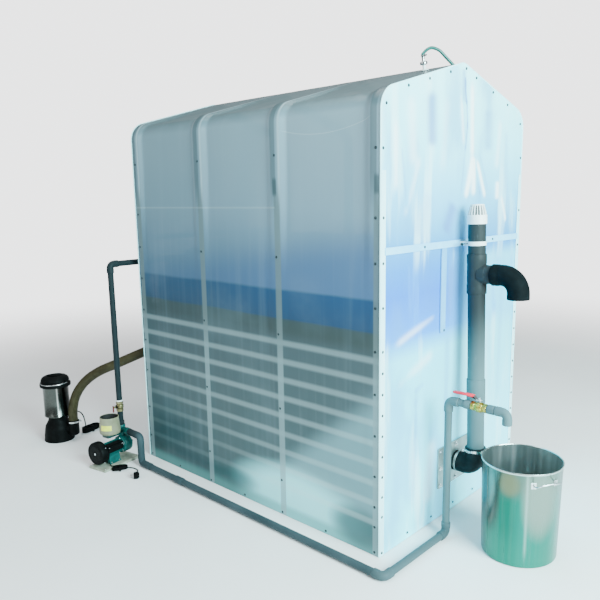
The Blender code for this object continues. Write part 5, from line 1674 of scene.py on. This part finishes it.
def make_gas_line(looks):
    """The fitting on the roof and the green hose over the ridge."""
    out = Vector((0, -sin(ROOF_ANGLE), cos(ROOF_ANGLE)))
    foot = GAS_FOOT + out * GAP
    at = facing(foot, out)
    outlet = Shape()
    outlet.lathe(((0, 0), (0.019, 0), (0.019, 0.0022), (0.0175, 0.003), (0.0085, 0.004), (0.007, 0.006),
                  (0.0066, 0.0205), (0.008, 0.0215)), looks["white"], at, 32)
    outlet.lathe(((0.008, 0.0215), (0.015, 0.0235), (0.0165, 0.0265), (0.0165, 0.0315), (0.015, 0.035),
                  (0.008, 0.037)), looks["steel"], at, 32)
    outlet.lathe(((0.008, 0.037), (0.0062, 0.0385), (0.006, 0.048), (0.0068, 0.049), (0.006, 0.05),
                  (0.006, 0.054), (0, 0.054)), looks["steel"], at, 32)
    piece("gas_outlet_union", outlet, ["gas_outlet"])
    x = GAS_FOOT.x
    far = Vector((x + 0.066, 0.06, RIDGE_HEIGHT - 0.06 * ROOF_SLOPE))
    far_out = Vector((0, sin(ROOF_ANGLE), cos(ROOF_ANGLE)))
    start = foot + out * 0.0543
    route = [start, start + out * 0.012, (x + 0.003, -0.068, 2.134), (x + 0.012, -0.04, 2.1445),
             (x + 0.028, -0.005, 2.135), (x + 0.045, 0.022, 2.108), far + far_out * 0.018,
             far + far_out * 0.0006]
    hose = Shape()
    path = square_path(route, 0.004)
    hose.sweep(path, 0.0068, looks["gas_hose"], sides=20)
    clamp_band(hose, facing(start + out * 0.006, out), 0.007, looks, radians(20), 0.005)
    piece("gas_hose_green", hose, ["gas_hose"], sharp=60)


def make_bucket(looks):
    """The spun steel bucket with its rolled rim, and two wire handles on lugs."""
    bucket = Shape()
    top = BUCKET_HEIGHT
    outer = looks["bucket"]
    steel = looks["steel"]
    bucket.lathe(((0, 0.004), (0.118, 0.004), (0.122, 0.0008), (0.148, 0.0008), (0.1535, 0.0035),
                  (0.155, 0.0085), (0.1637, 0.404), (0.1648, 0.406), (0.1665, 0.4085), (0.1669, 0.411),
                  (0.166, 0.4132), (0.1642, 0.4139), (0.1624, 0.4132), (0.1615, 0.411)), outer, BUCKET, 120)
    bucket.lathe(((0.1615, 0.411), (0.1613, 0.404), (0.1525, 0.012), (0.147, 0.0058), (0, 0.005)),
                 looks["bucket_inside"], BUCKET, 120)
    seam = BUCKET @ spin(radians(-120))
    bucket.sweep([(0.1551, 0, 0.028), (0.1636, 0, 0.402)], 0.0011, outer, seam, 8)
    seat = 0.155 + 0.009 * (top - 0.056) / (top - 0.014) + 0.0004
    spread = radians(18)
    half = [(seat * cos(spread), seat * sin(spread), -0.004),
            ((seat + 0.007) * cos(spread), (seat + 0.007) * sin(spread), -0.004),
            (seat + 0.018, 0.051, 0.0), (seat + 0.032, 0.047, 0.01), (seat + 0.036, 0.032, 0.014)]
    route = [(x, -y, z) for x, y, z in half] + [(seat + 0.038, 0, 0.016)] + half[::-1]
    wires = {}
    for node, place in (("bucket_handle_near", -31), ("bucket_handle_far", 149)):
        at = BUCKET @ spin(radians(place))
        for hand in (-1, 1):
            lug = at @ shift((0, 0, top - 0.048)) @ spin(hand * spread)
            bucket.block((0.1615, -0.011, -0.014), (0.165, 0.011, 0.012), steel, lug, bevel=0.0015)
            for z in (-0.009, 0.007):
                bucket.screw((0.1648, 0, z), (1, 0, 0), steel, 0.0028, lug)
        raised = at @ shift((0, 0, top - 0.044))
        wires[node] = Shape()
        wires[node].sweep(square_path(route, 0.004), 0.0028, steel, raised, 14)
    piece("bucket_spun", bucket, ["bucket"])
    for node, wire in wires.items():
        piece(f"{node}_wire", wire, [node], sharp=60)


# The stage

def make_stage(looks):
    """A plain pale floor, soft light and a bright surround."""
    shape = bpy.data.meshes.new("floor")
    size = 14.0
    shape.from_pydata([(-size, -size, 0), (size, -size, 0), (size, size, 0), (-size, size, 0)], [],
                      [(0, 1, 2, 3)])
    shape.materials.append(looks["floor"])
    floor = bpy.data.objects.new("floor", shape)
    bpy.context.scene.collection.objects.link(floor)
    make_surround()
    lamp("key", (4.6, -1.0, 2.4), (0.8, 0.0, 1.0), 2.5, 900, (0.66, 0.97, 1.0))
    lamp("fill", (-1.0, -5.0, 2.8), (-0.2, -0.4, 0.9), 3.0, 90, (0.95, 0.98, 1.0))
    lamp("top", (0.0, 0.0, 6.0), (0.0, 0.0, 0.0), 5.0, 300, (1.0, 1.0, 1.0))


def make_surround():
    """A pale backdrop that gives less light than it shows, so that dark finishes stay dark."""
    world = bpy.data.worlds.new("surround")
    world.use_nodes = True
    nodes = world.node_tree.nodes
    links = world.node_tree.links
    lighting = nodes["Background"]
    lighting.inputs["Color"].default_value = (0.93, 0.98, 1.0, 1.0)
    lighting.inputs["Strength"].default_value = 0.4
    backdrop = nodes.new("ShaderNodeBackground")
    backdrop.inputs["Color"].default_value = (0.98, 0.99, 1.0, 1.0)
    backdrop.inputs["Strength"].default_value = 3.2
    blend = nodes.new("ShaderNodeMixShader")
    links.new(nodes.new("ShaderNodeLightPath").outputs["Is Camera Ray"], blend.inputs[0])
    links.new(lighting.outputs[0], blend.inputs[1])
    links.new(backdrop.outputs[0], blend.inputs[2])
    links.new(blend.outputs[0], nodes["World Output"].inputs["Surface"])
    bpy.context.scene.world = world


def lamp(name, place, aim, size, power, colour):
    """A square area light that looks at a point."""
    data = bpy.data.lights.new(name, "AREA")
    data.size = size
    data.energy = power
    data.color = colour
    made = bpy.data.objects.new(name, data)
    made.location = place
    way = Vector(aim) - Vector(place)
    made.rotation_euler = way.to_track_quat("-Z", "Y").to_euler()
    bpy.context.scene.collection.objects.link(made)


def main():
    """Build every piece."""
    make_camera()
    looks = make_looks()
    make_cords(looks)
    make_cover(looks)
    make_end_film(1, looks)
    make_end_film(-1, looks)
    make_bag(looks)
    make_trim(looks)
    repaint_frame(looks)
    make_standpipe(looks)
    make_small_pipes(looks)
    make_front_valve(looks)
    make_rear_valve(dict(looks, brass=looks["darker_brass"]))
    make_pump(looks)
    make_disposer(looks)
    make_gas_line(looks)
    make_bucket(looks)
    make_stage(looks)


main()
